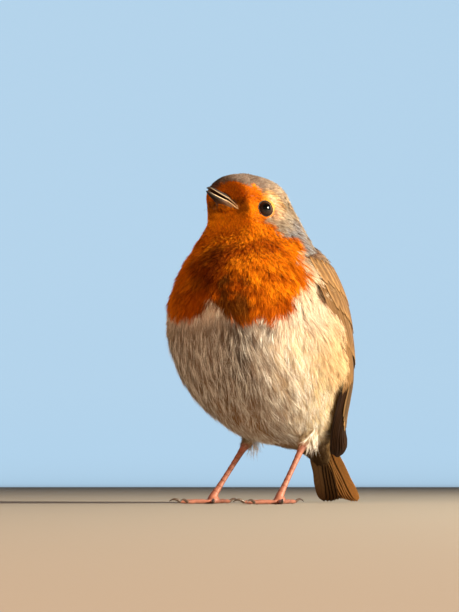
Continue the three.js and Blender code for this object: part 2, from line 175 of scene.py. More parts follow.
def makePiece(name, shape, material, replaces=()):
    # a mesh in the frame with its tint, maps and material; it returns how many triangles it has
    mesh = bpy.data.meshes.new(name)
    corners = np.concatenate([c.ravel() for c, _, _ in shape["faces"]]).astype(np.int32)
    sizes = np.concatenate([np.full(len(c), c.shape[1]) for c, _, _ in shape["faces"]]).astype(np.int32)
    mesh.vertices.add(len(shape["points"]))
    mesh.vertices.foreach_set("co", ((shape["points"] + shift) * 0.001).astype(np.float32).ravel())
    mesh.loops.add(len(corners))
    mesh.loops.foreach_set("vertex_index", corners)
    mesh.polygons.add(len(sizes))
    mesh.polygons.foreach_set("loop_start", (np.cumsum(sizes) - sizes).astype(np.int32))
    mesh.update(calc_edges=True)
    mesh.polygons.foreach_set("use_smooth", np.ones(len(sizes), bool))
    addColours(mesh, "tint", np.clip(shape["colour"], 0, 1))
    for number, layer in enumerate(("OFBake", "lie"), 1):
        if shape["faces"][0][number] is not None:
            flat = np.concatenate([face[number].reshape(-1, 2) for face in shape["faces"]]).astype(np.float32)
            mesh.uv_layers.new(name=layer).data.foreach_set("uv", flat.ravel())
    mesh.uv_layers["OFBake"].active = True
    mesh.uv_layers["OFBake"].active_render = True
    mesh.materials.append(material)
    piece = bpy.data.objects.new(name, mesh)
    bpy.context.scene.collection.objects.link(piece)
    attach(piece, "root")
    if replaces:
        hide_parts(*replaces)
    triangles = int((sizes - 2).sum())
    print(f"made {name}: {triangles} triangles")
    return triangles


def addColours(mesh, layer, colour):  # one colour to a point
    full = np.concatenate([colour, np.ones((len(colour), 1))], -1).astype(np.float32)
    mesh.color_attributes.new(layer, "FLOAT_COLOR", "POINT").data.foreach_set("color", full.ravel())


# materials: each takes its colour from the mesh's own tint
def newMaterial(name, roughness, specular=0.5, coat=0.0, sheen=0.0):
    material = bpy.data.materials.new(name)
    material.use_nodes = True
    nodes, links = material.node_tree.nodes, material.node_tree.links
    shader = nodes["Principled BSDF"]
    finish = {"Roughness": roughness, "Specular IOR Level": specular, "Coat Weight": coat,
              "Coat Roughness": 0.03, "Sheen Weight": sheen, "Sheen Roughness": 0.5}
    for socket, value in finish.items():
        shader.inputs[socket].default_value = value
    tint = nodes.new("ShaderNodeAttribute")
    tint.attribute_name = "tint"
    return nodes, links, shader, tint, material


def addNode(nodes, kind, values=None, operation=None):
    node = nodes.new(f"ShaderNode{kind}")
    for socket, value in (values or {}).items():
        node.inputs[socket].default_value = value
    if operation:
        node.operation = operation
    return node


def grained(name, roughness, place, noiseValues, levels, bump, **finish):
    # the piece's own tint, made darker and lighter by noise that also lifts the surface
    nodes, links, shader, tint, material = newMaterial(name, roughness, **finish)
    noise = addNode(nodes, "TexNoise", noiseValues)
    links.new(place(nodes, links), noise.inputs["Vector"])
    level = addNode(nodes, "MapRange", levels)
    links.new(noise.outputs["Fac"], level.inputs["Value"])
    shade = addNode(nodes, "VectorMath", operation="SCALE")
    links.new(tint.outputs["Color"], shade.inputs[0])
    links.new(level.outputs["Result"], shade.inputs["Scale"])
    links.new(shade.outputs["Vector"], shader.inputs["Base Color"])
    if bump:
        lift = addNode(nodes, "Bump", {"Strength": bump, "Distance": 0.0001})
        links.new(noise.outputs["Fac"], lift.inputs["Height"])
        links.new(lift.outputs["Normal"], shader.inputs["Normal"])
    return material


def objectPlace(nodes, links):
    return addNode(nodes, "TexCoord").outputs["Object"]


def speckled(name, roughness, size, amount, bump=0.0, **finish):  # fine noise, its size in millimetres
    levels = {"To Min": 1 - amount, "To Max": 1 + amount}
    return grained(name, roughness, objectPlace, {"Scale": 1000 / size, "Detail": 4}, levels, bump, **finish)


def barbLines(nodes, links):
    # barbs run out and forward from the shaft: lines slanted each way from the middle, drawn out along them
    lie = addNode(nodes, "UVMap")
    lie.uv_map = "lie"
    split = addNode(nodes, "SeparateXYZ")
    links.new(lie.outputs["UV"], split.inputs["Vector"])

    def math(operation, a, b=None):
        fixed = isinstance(b, float)
        node = addNode(nodes, "Math", {1: b} if fixed else None, operation)
        links.new(a, node.inputs[0])
        if b is not None and not fixed:
            links.new(b, node.inputs[1])
        return node.outputs[0]

    out = math("ABSOLUTE", split.outputs["X"])
    slant = math("SUBTRACT", split.outputs["Y"], math("MULTIPLY", out, 1.1))
    place = addNode(nodes, "CombineXYZ")
    links.new(math("MULTIPLY", slant, 3.2), place.inputs["X"])
    links.new(math("MULTIPLY", split.outputs["X"], 0.35), place.inputs["Y"])
    return place.outputs["Vector"]


softPlume = speckled("softPlume", 0.8, 1.0, 0.12, specular=0.04, sheen=0.01)
bareSkin = speckled("bareSkin", 0.5, 0.35, 0.2, bump=0.4, specular=0.4)
stiffPlume = grained("stiffPlume", 0.55, barbLines, {"Scale": 1.0, "Detail": 3},
                     {"From Min": 0.3, "From Max": 0.7, "To Min": 0.8, "To Max": 1.2}, 0.5, specular=0.08)
billHorn = speckled("billHorn", 0.55, 0.5, 0.22, bump=0.4, specular=0.16)
clawHorn = speckled("clawHorn", 0.35, 0.4, 0.2, bump=0.15)
eyeGloss = speckled("eyeGloss", 0.1, 0.4, 0.2, specular=0.3, coat=0.3)

# the body's rows from bill to tail: belly y, z, back y, z, half width, level of the widest line, swell of the
# cheek
bodyRows = np.array([
    [-18.6, 98.2, -18.9, 102.9, 3.0, 0.48, 0.4],
    [-18.6, 95.5, -19.3, 106.4, 7.2, 0.48, 0.7],
    [-18.0, 92.8, -15.2, 108.6, 9.8, 0.47, 1.2],
    [-17.8, 90.3, -6.0, 109.5, 11.5, 0.46, 1.7],
    [-19.2, 88.0, 5.2, 107.0, 12.9, 0.47, 1.6],
    [-21.6, 85.4, 9.6, 99.8, 15.4, 0.50, 1.0],
    [-24.8, 82.0, 14.6, 90.2, 19.4, 0.52, 0.4],
    [-28.8, 76.4, 20.4, 80.0, 24.3, 0.52, 0],
    [-32.2, 68.2, 26.0, 69.0, 28.0, 0.52, 0],
    [-33.0, 59.2, 29.4, 57.5, 29.4, 0.52, 0],
    [-29.8, 49.2, 32.0, 47.5, 29.0, 0.52, 0],
    [-22.8, 38.7, 33.8, 40.0, 26.8, 0.52, 0],
    [-12.0, 29.3, 35.6, 34.0, 22.3, 0.50, 0],
    [0.0, 22.6, 37.8, 28.5, 16.2, 0.50, 0],
    [20.0, 19.0, 40.2, 24.2, 10.2, 0.50, 0],
    [29.5, 18.0, 42.3, 21.0, 6.8, 0.50, 0],
    [35.6, 16.0, 44.6, 18.2, 4.4, 0.50, 0],
    [41.0, 13.0, 47.0, 15.0, 2.0, 0.50, 0],
])
tailEndPlace = len(bodyRows) - 1
head = {"turn": radians(4), "turnFrom": 78, "turnTo": 98, "pivotY": -1, "centre": (0, -7.0, 98.2),
        "pitch": radians(18)}
eye = {"radius": 2.9, "place": (2.0, -2.2, 8.9), "opening": radians(57), "lookTo": (0.60, -0.03, 0.80)}
sinPitch, cosPitch = np.sin(head["pitch"]), np.cos(head["pitch"])


def inHead(forward, up, left):  # a point given from the head's centre, before the head is turned
    forward, up, left = np.broadcast_arrays(*(np.asarray(k, float) for k in (forward, up, left)))
    y = head["centre"][1] - cosPitch * forward + sinPitch * up
    z = head["centre"][2] + sinPitch * forward + cosPitch * up
    return np.stack([left, y, z], -1)


def headPlace(points):  # the reverse: forward, up, left
    y, z = points[..., 1] - head["centre"][1], points[..., 2] - head["centre"][2]
    return -cosPitch * y + sinPitch * z, sinPitch * y + cosPitch * z, points[..., 0]


def turnWithHead(points):  # round an upright line, by less down the neck
    a = -head["turn"] * smooth(points[..., 2], head["turnFrom"], head["turnTo"])
    x, y = points[..., 0], points[..., 1] - head["pivotY"]
    turned = [x * np.cos(a) - y * np.sin(a), x * np.sin(a) + y * np.cos(a) + head["pivotY"], points[..., 2]]
    return np.stack(turned, -1)


# round the eyes and behind the mouth's corners; centre, depth on the left and on the right, reach
dents = [(inHead(4.2, -2.2, 11.1), 2.5, 2.5, 5.2), (inHead(9.2, -4.4, 4.8), 2.0, 0.8, 3.2)]


def bodyStraight(place, angle, grow=0.0):
    # two half ellipses, above and below the widest line; the angle goes from the back to the left side
    bellyY, bellyZ, backY, backZ, halfWidth, level, cheek = np.moveaxis(catmullRom(bodyRows, place), -1, 0)
    rise = grow / np.hypot(backY - bellyY, backZ - bellyZ)
    above, below = np.maximum(np.cos(angle), 0), np.maximum(-np.cos(angle), 0)
    share = level + above * (1 - level + rise) - below * (level + rise)
    x = np.sin(angle) * (halfWidth + grow + 3 * cheek * below**2)
    points = np.stack([x, bellyY + share * (backY - bellyY), bellyZ + share * (backZ - bellyZ)], -1)
    for centre, leftDepth, rightDepth, reach in dents:
        mirrored = np.concatenate([np.abs(points[..., :1]), points[..., 1:]], -1)
        away = np.linalg.norm(mirrored - centre, axis=-1)
        depth = np.where(points[..., 0] < 0, rightDepth, leftDepth)
        points[..., 0] -= np.sign(points[..., 0]) * depth * bell(away, 0, reach)
    return points


def bodySurface(place, angle):  # the same with the head turned
    return turnWithHead(bodyStraight(place, angle))


def coatDepth(place, angle):  # how far the skin lies under the ends of the feathers
    depth = ramp(place, [(0, 0.3), (1, 0.5), (3, 0.75), (5, 1.1), (6.5, 1.7), (9, 2.2), (12, 2.4), (14, 1.8),
                         (16, 1.0), (17, 0.4)])
    return depth * (1 - 0.35 * smooth(-np.abs(angle), -radians(95), -radians(60)))


# colours of the plumage, and where its markings lie
tones = {
    "orange": (0.92, 0.30, 0.006), "orangeDeep": (0.52, 0.11, 0.002), "gold": (0.95, 0.50, 0.07),
    "bibShade": (0.122, 0.0175, 0.001), "patch": (0.060, 0.028, 0.004), "lore": (0.15, 0.035, 0.004),
    # slate: painted shade for the right of the brow
    "crown": (0.19, 0.142, 0.118), "crownPale": (0.351, 0.275, 0.237), "slateShade": (0.055, 0.050, 0.052),
    "nape": (0.97, 0.77, 0.54), "grey": (0.52, 0.45, 0.36), "blueGrey": (0.33, 0.38, 0.48),
    "cream": (0.9, 0.66, 0.45), "back": (0.27, 0.17, 0.075), "sideBreast": (0.90, 0.78, 0.60),
    "belly": (0.87, 0.77, 0.67), "bellyShadeGrey": (0.235, 0.17, 0.124), "hollowShade": (0.119, 0.109, 0.106),
    "flank": (0.90, 0.72, 0.44), "vent": (0.386, 0.204, 0.0884), "underTail": (0.27, 0.18, 0.105),
    "tailRoot": (0.075, 0.042, 0.018), "wisp": (0.97, 0.92, 0.84),
}
tones = {name: np.array(tone) for name, tone in tones.items()}
markings = {
    # the bib's side edge, place along the body and degrees from the back; its lower edge, degrees and place
    "bibSide": [(0.6, -14), (0.85, 0), (1.05, 34), (1.3, 50), (1.8, 60), (2.2, 65), (2.6, 68), (2.9, 70),
                (3.3, 76), (3.55, 87), (3.9, 101), (4.3, 109), (4.9, 111), (5.3, 110), (5.7, 104), (5.9, 95),
                (6.1, 86), (6.45, 87), (6.6, 98), (7.0, 104), (7.6, 104), (8.0, 110), (8.5, 121), (9.0, 126)],
    "bibFoot": [(115, 9.0), (126, 9.05), (139, 9.3), (143, 9.12), (148, 9.32), (156, 9.42), (161, 9.28),
                (167, 8.95), (174, 8.55), (179, 8.4), (182, 8.85), (190, 9.12), (203, 9.2), (215, 9.05),
                (222, 8.85), (235, 8.7), (245, 8.5)],
    # place and degrees of the line where the belly's coat parts, and of the shaded hollow beside it
    "parting": [(9.2, 161), (10.2, 160), (11.2, 150), (12.0, 146)],
    "hollowShade": [(9.0, 155), (9.85, 158), (10.6, 163), (11.3, 170), (12.0, 176)],
    # dark feathers from the bill's base to the eye, and painted shade down behind the mouth's corner: start
    # and end as forward and up, width of the full tone, width where it ends, strength
    "lores": [((11.4, -3.4), (9.9, -4.9), 0.4, 1.7, 0.85), ((9.7, -5.0), (8.6, -7.4), 0.1, 0.9, 0.5)],
}


def wash(colour, coats):  # lays tones over a colour one after the other, each by its share
    for tone, share in coats:
        colour = mix(colour, tones[tone] if isinstance(tone, str) else tone, share)
    return colour


def partingAt(place):
    return ramp(place, markings["parting"])


def backAndBelly(place, degrees, off, points, wander, lights):
    # brown above and pale below, greyer at the neck's side; grey painted shade in streaks, along the belly's
    # parting, in the hollow beside it and over the belly's right side
    aside = smooth(off + 3 * wander, 18, 42)
    paler = smooth(place, 2.9, 4.2) * (0.35 + 0.65 * lights) * (0.15 + 0.85 * aside)
    upper = wash(tones["crown"], [
        ("crownPale", 0.6 * lights),
        ("nape", paler),
        ("back", smooth(place, 4.6, 6.6) * (1 - 0.8 * paler * (place < 5.6))),
    ])
    flankward = smooth(place, 8.6, 10.4) * (1 - smooth(off + 6 * wander, 112, 150))
    # painted shade: grey streaks where the belly's feathers fall apart
    streak = smooth(waves(points * [1, 1, 0.3], 3.0, 3) + 0.5 * wander, 0.2, 1.2) * smooth(place, 8.8, 9.6)
    # painted shade along the line where the coat parts
    parting = bell(degrees, partingAt(place), 6) * span(place, 9.2, 9.7, 11.0, 12.0)
    # painted shade in the hollow beside the parting
    hollowShade = bell(degrees + 4 * wander, ramp(place, markings["hollowShade"]), 14) * span(place, 8.8, 9.3, 10.9, 12.2)
    vent = smooth(place + 0.25 * wander, 10.2, 13.0) * (1 - smooth(place, 13.6, 14.6)) * smooth(off, 112, 140)
    under = wash(tones["belly"], [
        ("flank", 0.85 * flankward),
        ("bellyShadeGrey", 0.6 * streak * (1 - 0.8 * flankward)),
        ("bellyShadeGrey", 0.65 * parting * (0.6 + 0.6 * lights)),
        # painted shade over the belly's right side, which faces away from the light
        ("bellyShadeGrey", 0.88 * smooth(degrees + 5 * wander, 128, 172) * smooth(place, 9.0, 9.8)),
        ("hollowShade", hollowShade * (0.75 + 0.25 * lights)),
        # the vent's buff: partly the bird's own colour, partly painted shade, stronger towards the belly's
        # right side
        ("vent", 0.8 * vent * (0.25 + 0.75 * smooth(degrees, 146, 178))),
        ("underTail", smooth(place, 13.6, 14.6)),
        ("tailRoot", smooth(place + 0.3 * wander, 14.6, 15.8)),
        ("sideBreast", 1 - smooth(place, 8.0, 9.4)),
    ])
    neckSide = smooth(off + 4 * wander, 50, 78) * span(place, 3.4, 4.4, 6.4, 7.4)
    side = wash(tones["grey"], [("crownPale", 0.7 * lights),
                                ("blueGrey", 0.8 * smooth(place + 0.2 * wander, 5.1, 5.8))])
    low = smooth(off + 3 * wander, 84, 97) * smooth(place, 6.0, 6.8)
    return wash(upper, [(under, low), (side, 0.8 * neckSide)])


def bibTone(place, degrees, off, points, wander, lights):
    # orange, deeper on the brow and low on the breast, with a dark patch near its foot; painted shade deepens
    # it down the middle and in bands down and across the breast, and painted light pales it on the right side
    # and under the throat
    forward, up, left = headPlace(points)
    deep = 0.3 + 0.5 * waves(points, 9.0, 4) + 0.3 * wander + 0.7 * smooth(place, 6.8, 8.4)
    deep = np.clip(deep, 0, 1) * smooth(place, 2.6, 6.0)
    brow = 0.9 * bell(forward, 7.5, 2.8) * bell(up, 0.3, 3.6) * smooth(np.abs(left), 4.0, 7.0)
    brow += 0.75 * (1 - smooth(place + 0.3 * wander, 1.8, 3.0)) * (1 - smooth(off, 95, 120))
    brow += 0.6 * span(place, 2.6, 3.4, 4.6, 5.6) * (1 - smooth(off, 112, 130))
    # painted shade: deeper orange down the middle of the breast
    middle = bell(degrees, 180, 22) * span(place, 5.6, 6.6, 8.2, 9.0)
    deep = np.maximum(deep, brow * (0.9 + 0.3 * lights)) + 0.6 * middle + 0.35 * smooth(place, 7.8, 8.8)
    # painted light: less deep orange over the bird's right side, which lies away from the light
    deep = np.clip(deep, 0, 1) * (1 - 0.5 * smooth(degrees, 188, 222) * smooth(place, 5.0, 6.0))
    # painted light: paler orange under the throat, where the sun reaches
    deep = deep * (1 - 0.7 * span(place, 1.6, 2.4, 4.6, 5.8) * smooth(off, 120, 145))
    # painted shade: a dark band where the breast's feathers part down the middle, and another across the
    # breast
    shadeBand = bell(degrees, 184, 14) * smooth(place + 0.1 * wander, 5.2, 5.9) * (1 - smooth(place, 7.5, 8.5))
    across = span(degrees, 158, 172, 205, 222) * bell(place - 0.1 * wander, 6.85, 0.32)
    shadeBand = np.maximum(shadeBand, 0.55 * across)
    patch = smooth(9.0 - np.hypot((degrees - 164) * 0.5, (place - 8.6) * 8.0) + 2.6 * wander, 0, 5.0)
    return wash(tones["orange"], [("orangeDeep", deep), ("bibShade", shadeBand * (0.65 + 0.5 * lights)),
                                  ("patch", 0.78 * patch)])


def faceMarks(colour, place, degrees, off, points, wander, lights):
    # painted shade in slate over the right of the brow, cream behind the eye, gold above it and dark lores
    # before it
    forward, up, left = headPlace(points)
    rightward = np.where(degrees > 180, off, -off)
    front = smooth(place, 0.3, 0.8) * (1 - smooth(place + 0.2 * wander, 2.6, 3.4))
    slateShade = 0.9 * front * smooth(rightward + 4 * wander, 2, 18) * (1 - smooth(rightward, 62, 80))
    eyeForward, eyeUp, eyeOut = eye["place"]
    f, g = forward - eyeForward, up - eyeUp
    away = np.sqrt(f**2 + g**2 + 0.5 * (np.abs(left) - eyeOut - 2) ** 2)
    reach = 3.6 + 1.2 * smooth(0.6 * g - 0.8 * f, 0.5, 3.0)
    creamy = smooth(-f + 0.2 * g, -0.3, 2.0) * (1 - smooth(away, reach, reach + 2.2))
    creamy = creamy * span(place, 1.5, 2.5, 5.0, 5.6)
    above = smooth(g, 0.3, 2.2) * smooth(-f, -3.4, 0.5) * (1 - smooth(away, 5.2, 8.0)) * smooth(off, 50, 70)
    colour = wash(colour, [("slateShade", slateShade), ("cream", creamy), ("gold", 0.85 * above * (1 - creamy))])
    for start, end, full, faded, strength in markings["lores"]:
        way = np.subtract(end, start)
        ahead, high = forward - start[0], up - start[1]
        share = np.clip((ahead * way[0] + high * way[1]) / (way @ way), 0, 1)
        beside = np.hypot(ahead - share * way[0], high - share * way[1])
        band = (1 - smooth(beside + 0.25 * wander, full, faded)) * (place < 5)
        colour = mix(colour, tones["lore"], strength * band * (0.7 + 0.4 * lights))
    return colour


def plumage(place, angle):
    # colour at a place of the body: back and belly, then the bib within its edges, then the face
    points = bodyStraight(place, angle)
    degrees = np.degrees(angle) % 360
    off = np.where(degrees > 180, 360 - degrees, degrees)
    wander = waves(points, 5.0, 1) + 0.6 * waves(points, 2.2, 2)
    lights = smooth(waves(points * [1, 0.5, 0.5], 1.6, 5) + 0.5 * waves(points, 6.0, 6), 0.0, 1.4)
    at = (place, degrees, off, points, wander, lights)
    radius = np.maximum(catmullRom(bodyRows, place)[..., 4], 6)
    fromSide = np.radians(off - ramp(place, markings["bibSide"])) * radius
    fromFoot = (ramp(degrees, markings["bibFoot"]) - place) * 9.5
    inside = smooth(np.minimum(fromSide, fromFoot) + 0.8 * wander, -0.7, 0.7)
    return faceMarks(mix(backAndBelly(*at), bibTone(*at), inside), *at)


# the coat: tufts of strands, each strand as stations along it and widths at the first three
strand = {"stations": np.array([0, 0.36, 0.72, 1.0]), "widths": np.array([0.7, 1.0, 0.75])}
bakePatch = 0.003  # how much of the bake map a tuft takes


def rootsOn(surface, box, density, seed):
    # spread evenly over u and v by steps of fixed irrational shares, then thinned to the wanted number in
    # each square millimetre
    u0, u1, v0, v1 = box
    steps = 1.2207440846057596 ** -np.arange(1.0, 4.0)

    def candidates(count):
        stray = np.random.default_rng(seed).uniform(-0.7, 0.7, (count, 3)) / np.sqrt(count)
        p = (seed * 0.317 + np.arange(1, count + 1)[:, None] * steps + stray) % 1
        u, v = u0 + (u1 - u0) * p[:, 0], v0 + (v1 - v0) * p[:, 1]
        _, along, around, _ = frameOf(surface, u, v)
        crowd = density(u, v) if callable(density) else density
        return u, v, p[:, 2], np.linalg.norm(np.cross(along, around), axis=-1) * crowd

    most = candidates(3000)[3].max() * 1.05
    u, v, chance, wanted = candidates(int((u1 - u0) * (v1 - v0) * most))
    keep = chance < wanted / most
    return u[keep], v[keep]


def coatShape(surface, u, v, look, length, heading, depth, lift, colourOf, bakeAt, seed, handed=1):
    # each tuft fans out from its root along the surface; its strands rise from the skin to the coat's outside
    rng = np.random.default_rng(seed)
    n, k = len(u), look["strands"]
    _, along, around, _ = frameOf(surface, u, v)
    du = length * np.cos(heading) / np.linalg.norm(along, axis=-1)
    dv = length * np.sin(heading) / np.linalg.norm(around, axis=-1)
    knots = [frameOf(surface, u + du * s, v + dv * s, handed) for s in (0, 0.5, 1)]
    path, normal = (np.stack([knot[i] for knot in knots]) for i in (0, 3))
    start, middle, end = path
    way = np.stack([4 * middle - 3 * start - end, end - start, start - 4 * middle + 3 * end])
    side = unit(np.cross(normal, way))
    b = np.linspace(-1, 1, k) + rng.normal(0, 0.7 / k, (n, k))
    reach = (1 - look["round"] * b**2) * rng.uniform(0.74, 1.06, (n, k))
    s = strand["stations"] * reach[..., None]
    centre, up, across = (np.einsum("nksq,qnc->nksc", parabola(s), line) for line in (path, normal, side))
    up, across = unit(up), unit(across)
    rootWidth, tipWidth = look["spread"]
    curl = rng.normal(0, look["curl"], (n, 1, 1)) + rng.normal(0, look["curl"] * 0.7, (n, k, 1))
    fan = b[..., None] * (rootWidth + (tipWidth - rootWidth) * s**1.4) + curl * s**2 * length[:, None, None]
    rise = lift[:, None] + rng.normal(0, look["loose"], (n, k))
    sunk = 0.92 * np.broadcast_to(depth, n)[:, None, None]
    height = (sunk + rise[..., None]) * s**0.75 - sunk
    centre += across * fan[..., None] + up * height[..., None]
    roll = rng.normal(0, 0.55, (n, k, 1, 1))
    flat = across * np.cos(roll) + up * np.sin(roll)
    half = look["width"] * strand["widths"] * rng.uniform(0.7, 1.3, (n, k, 1))
    edge = flat[:, :, :3] * half[..., None]
    spots = np.empty((n, k, 7, 3))
    spots[:, :, 0:6:2] = centre[:, :, :3] - edge
    spots[:, :, 1:6:2] = centre[:, :, :3] + edge
    spots[:, :, 6] = centre[:, :, 3]
    aside = b * tipWidth / np.linalg.norm(around, axis=-1)[:, None] * np.cos(heading)[:, None]
    base = colourOf(u[:, None] + du[:, None] * reach, v[:, None] + dv[:, None] * reach + aside)
    vary = 1 + rng.normal(0, look["tuftVary"], (n, 1)) + rng.normal(0, look["strandVary"], (n, k))
    stationOf = [0, 0, 1, 1, 2, 2, 3]
    # painted shade: each strand is darker at its root, where the tufts shade each other, and warmer where
    # darker
    shading = np.clip(vary, 0.35, 1.7)[..., None] * np.array(look["shades"])[stationOf]
    colour = base[:, :, None] * shading[..., None] ** np.array([0.8, 1.15, 1.3])  # darker is also warmer
    one = np.array([[0, 3, 1], [0, 2, 3], [2, 5, 3], [2, 4, 5], [4, 6, 5]])[:, ::handed]
    corners = (np.arange(n * k)[:, None, None] * 7 + one).reshape(-1, 3)
    beside = np.array([-0.08, 0.08, -0.08, 0.08, -0.08, 0.08, 0])
    patch = np.stack([b[..., None] * 0.4 + beside, s[..., stationOf] - 0.5], -1) * bakePatch
    bake = (bakeAt(u, v)[:, None, None] + patch).reshape(-1, 2)
    faces = [[corners, bake[corners], None]]
    return {"points": spots.reshape(-1, 3), "colour": colour.reshape(-1, 3), "faces": faces}


def looseTufts(surface, roots, look, long, stray, depth, lift, colourOf, bakeAt, seed, handed, rng):
    # tufts of a small place: long is the least and greatest length, lift the mean height and its stray
    count = len(roots[0])
    length, heading, rise = rng.uniform(*long, count), rng.normal(0, stray, count), rng.normal(*lift, count)
    return coatShape(surface, *roots, look, length, heading, depth, rise, colourOf, bakeAt, seed, handed)


def bodyBake(u, v):  # the body's skin unrolled: round it and along it
    return np.stack([(v / (2 * pi)) % 1, u / tailEndPlace], -1)


# strands in a tuft, its width at root and tip, a strand's half width, how round the tuft's end is, curl and
# looseness, how much tufts and strands differ, and the painted shade at the root, up the strand and at its
# tip
coatLooks = {
    "short": {"strands": 6, "spread": (0.14, 0.5), "width": 0.055, "round": 0.35, "curl": 0.12, "loose": 0.07,
              "tuftVary": 0.11, "strandVary": 0.17, "shades": (0.62, 0.88, 1.0, 1.18)},
    "breast": {"strands": 11, "spread": (0.2, 0.95), "width": 0.055, "round": 0.35, "curl": 0.11,
               "loose": 0.16, "tuftVary": 0.11, "strandVary": 0.17, "shades": (0.5, 0.8, 1.0, 1.15)},
    "belly": {"strands": 13, "spread": (0.2, 1.4), "width": 0.052, "round": 0.25, "curl": 0.07, "loose": 0.16,
              "tuftVary": 0.09, "strandVary": 0.12, "shades": (0.45, 0.8, 1.0, 1.06)},
    "back": {"strands": 9, "spread": (0.3, 1.2), "width": 0.078, "round": 0.4, "curl": 0.06, "loose": 0.14,
             "tuftVary": 0.12, "strandVary": 0.16, "shades": (0.25, 0.6, 0.95, 1.3)},
    "wisp": {"strands": 6, "spread": (0.1, 0.8), "width": 0.05, "round": 0.2, "curl": 0.13, "loose": 0.3,
             "tuftVary": 0.05, "strandVary": 0.1, "shades": (0.6, 0.95, 1.1, 1.2)},
}
# length of the feathers along the body, in millimetres
lengthBelow = [(0, 0.7), (1, 0.9), (2, 1.1), (3.5, 1.5), (5, 2.2), (6.5, 3.2), (8.5, 4.4), (9.3, 6.6),
               (10.5, 8.6), (12, 8.6), (13.5, 5.8), (15, 6.4), (16.4, 5.6)]
lengthAbove = [(0, 0.6), (1, 0.9), (2, 1.2), (3.5, 1.8), (5, 2.6), (6.5, 4.0), (9, 5.4), (12, 6.5), (14, 6.5),
               (16.4, 3.4)]
# name, look, from and to along the body, from and to round it in degrees, tufts in a square millimetre, slot
coatParts = [
    ("coatCrown", "short", 0.12, 5.0, -88, 88, 3.2, "plumage_orange"),
    ("coatFace", "short", 0.12, 5.0, 88, 272, 4.6, "plumage_orange"),
    ("coatNape", "back", 5.0, 8.2, -84, 84, 1.3, "plumage_brown"),
    ("coatBreastLeft", "breast", 5.0, 9.2, 84, 180, 2.0, "plumage_orange"),
    ("coatBreastRight", "breast", 5.0, 9.2, 180, 276, 2.0, "plumage_orange"),
    ("coatBellyLeft", "belly", 9.2, 12.6, 84, 180, 1.3, "plumage_pale"),
    ("coatBellyRight", "belly", 9.2, 12.6, 180, 276, 1.3, "plumage_pale"),
    ("coatBack", "back", 8.2, 13.4, -84, 84, 0.85, "plumage_brown"),
    ("coatVent", "belly", 12.6, 14.4, 84, 276, 1.1, "plumage_pale"),
    ("coatRump", "back", 13.4, 16.6, -90, 90, 1.4, "plumage_brown"),
    ("coatUnderTail", "belly", 14.4, 16.9, 90, 270, 1.8, "plumage_pale"),
    ("coatWisps", "wisp", 9.0, 13.4, 100, 262, 0.55, "plumage_pale"),
]


def eyeCentre(sign):  # sign is 1 for the left eye and -1 for the right
    forward, up, out = eye["place"]
    return turnWithHead(inHead(forward, up, sign * out))


def eyeAxis(sign):  # the way the opening between the lids faces
    return unit(np.array([sign * 0.86, -0.5 * cosPitch - 0.02, 0.5 * sinPitch]))


def aroundEyes(points):  # distance to the nearer eye's middle line, measured across the way it faces
    best = np.full(points.shape[:-1], 99.0)
    for sign in (1, -1):
        to = points - eyeCentre(sign)
        deep = to @ eyeAxis(sign)
        away = np.linalg.norm(to - deep[..., None] * eyeAxis(sign), axis=-1)
        best = np.where(deep > -1.5, np.minimum(best, away), best)
    return best


def onMouth(place, angle):  # true on and just ahead of the corners of the mouth
    forward, up, left = headPlace(bodyStraight(place, angle))
    gap, out = up - billEdge(0, forward), np.abs(left)
    return (forward > np.where(left > 0, 9.5, 10.6)) & (gap > -0.4) & (gap < 0.25) & (out > 3.2) & (out < 5.4)


def lieOfCoat(u, v, points):  # heading away from straight back, in radians: gentle partings and wisps
    wander = 0.17 * waves(points, 11.0, 11) + 0.09 * waves(points, 4.0, 12)
    inwards = -0.18 * np.sin(v) * smooth(u, 9.0, 12.0)
    aside = np.degrees(v) - partingAt(u)
    inwards += 0.3 * np.tanh(aside / 6) * bell(aside, 0, 16) * span(u, 9.0, 9.6, 11.0, 12.2)
    return (wander + inwards) * smooth(u, 1.0, 4.0) + 0.05 * wander


def coatDensity(amount):  # tufts stand closer towards the bill
    return lambda place, angle: amount * (1 + 1.6 * (1 - smooth(place, 0.8, 3.0)))


def wispTone(place, angle):
    return mix(plumage(place, angle), tones["wisp"], 0.8)


def makeCoat():
    # one piece to each stretch of the coat, with no tufts on the eyes and mouth or under the wings
    total = 0
    for index, (name, lookName, u0, u1, v0, v1, density, slot) in enumerate(coatParts):
        wispy = lookName == "wisp"
        u, v = rootsOn(bodySurface, (u0, u1, radians(v0), radians(v1)), coatDensity(density), index + 1)
        points = bodySurface(u, v)
        near = aroundEyes(points)
        keep = (near > 2.75) & ~underWing(u, v) & ~onMouth(u, v)
        u, v, points, near = u[keep], v[keep], points[keep], near[keep]
        rng = np.random.default_rng(50 + index)
        below = smooth(-np.cos(v), -0.2, 0.2)
        length = ramp(u, lengthAbove) * (1 - below) + ramp(u, lengthBelow) * below
        length = length * rng.uniform(0.85, 1.15, len(u)) * (1.35 if wispy else 1.0)
        _, along, _, _ = frameOf(bodySurface, u, v)
        # feathers that would run over an eye stop short of it
        towards = aroundEyes(points + unit(along) * 0.6) < near
        length = np.where(towards, np.minimum(length, np.maximum(near - 2.55, 0.35)), length)
        heading = lieOfCoat(u, v, points) + rng.normal(0, 0.06 + 0.08 * (1 - smooth(u, 3.0, 6.0)), len(u))
        depth = coatDepth(u, v)
        lift = depth * (0.05 + 0.16 * waves(points, 4.5, 21) + rng.normal(0, 0.07, len(u)))
        above = 1 - smooth(np.abs(v), radians(60), radians(88))
        lift += 0.55 * above * span(u, 2.8, 3.8, 4.8, 6.2) + 0.5 * wispy
        shape = coatShape(bodySurface, u, v, coatLooks[lookName], length, heading, depth, lift,
                          wispTone if wispy else plumage, bodyBake, 100 + index)
        total += makePiece(name, shape, softPlume)
    return total


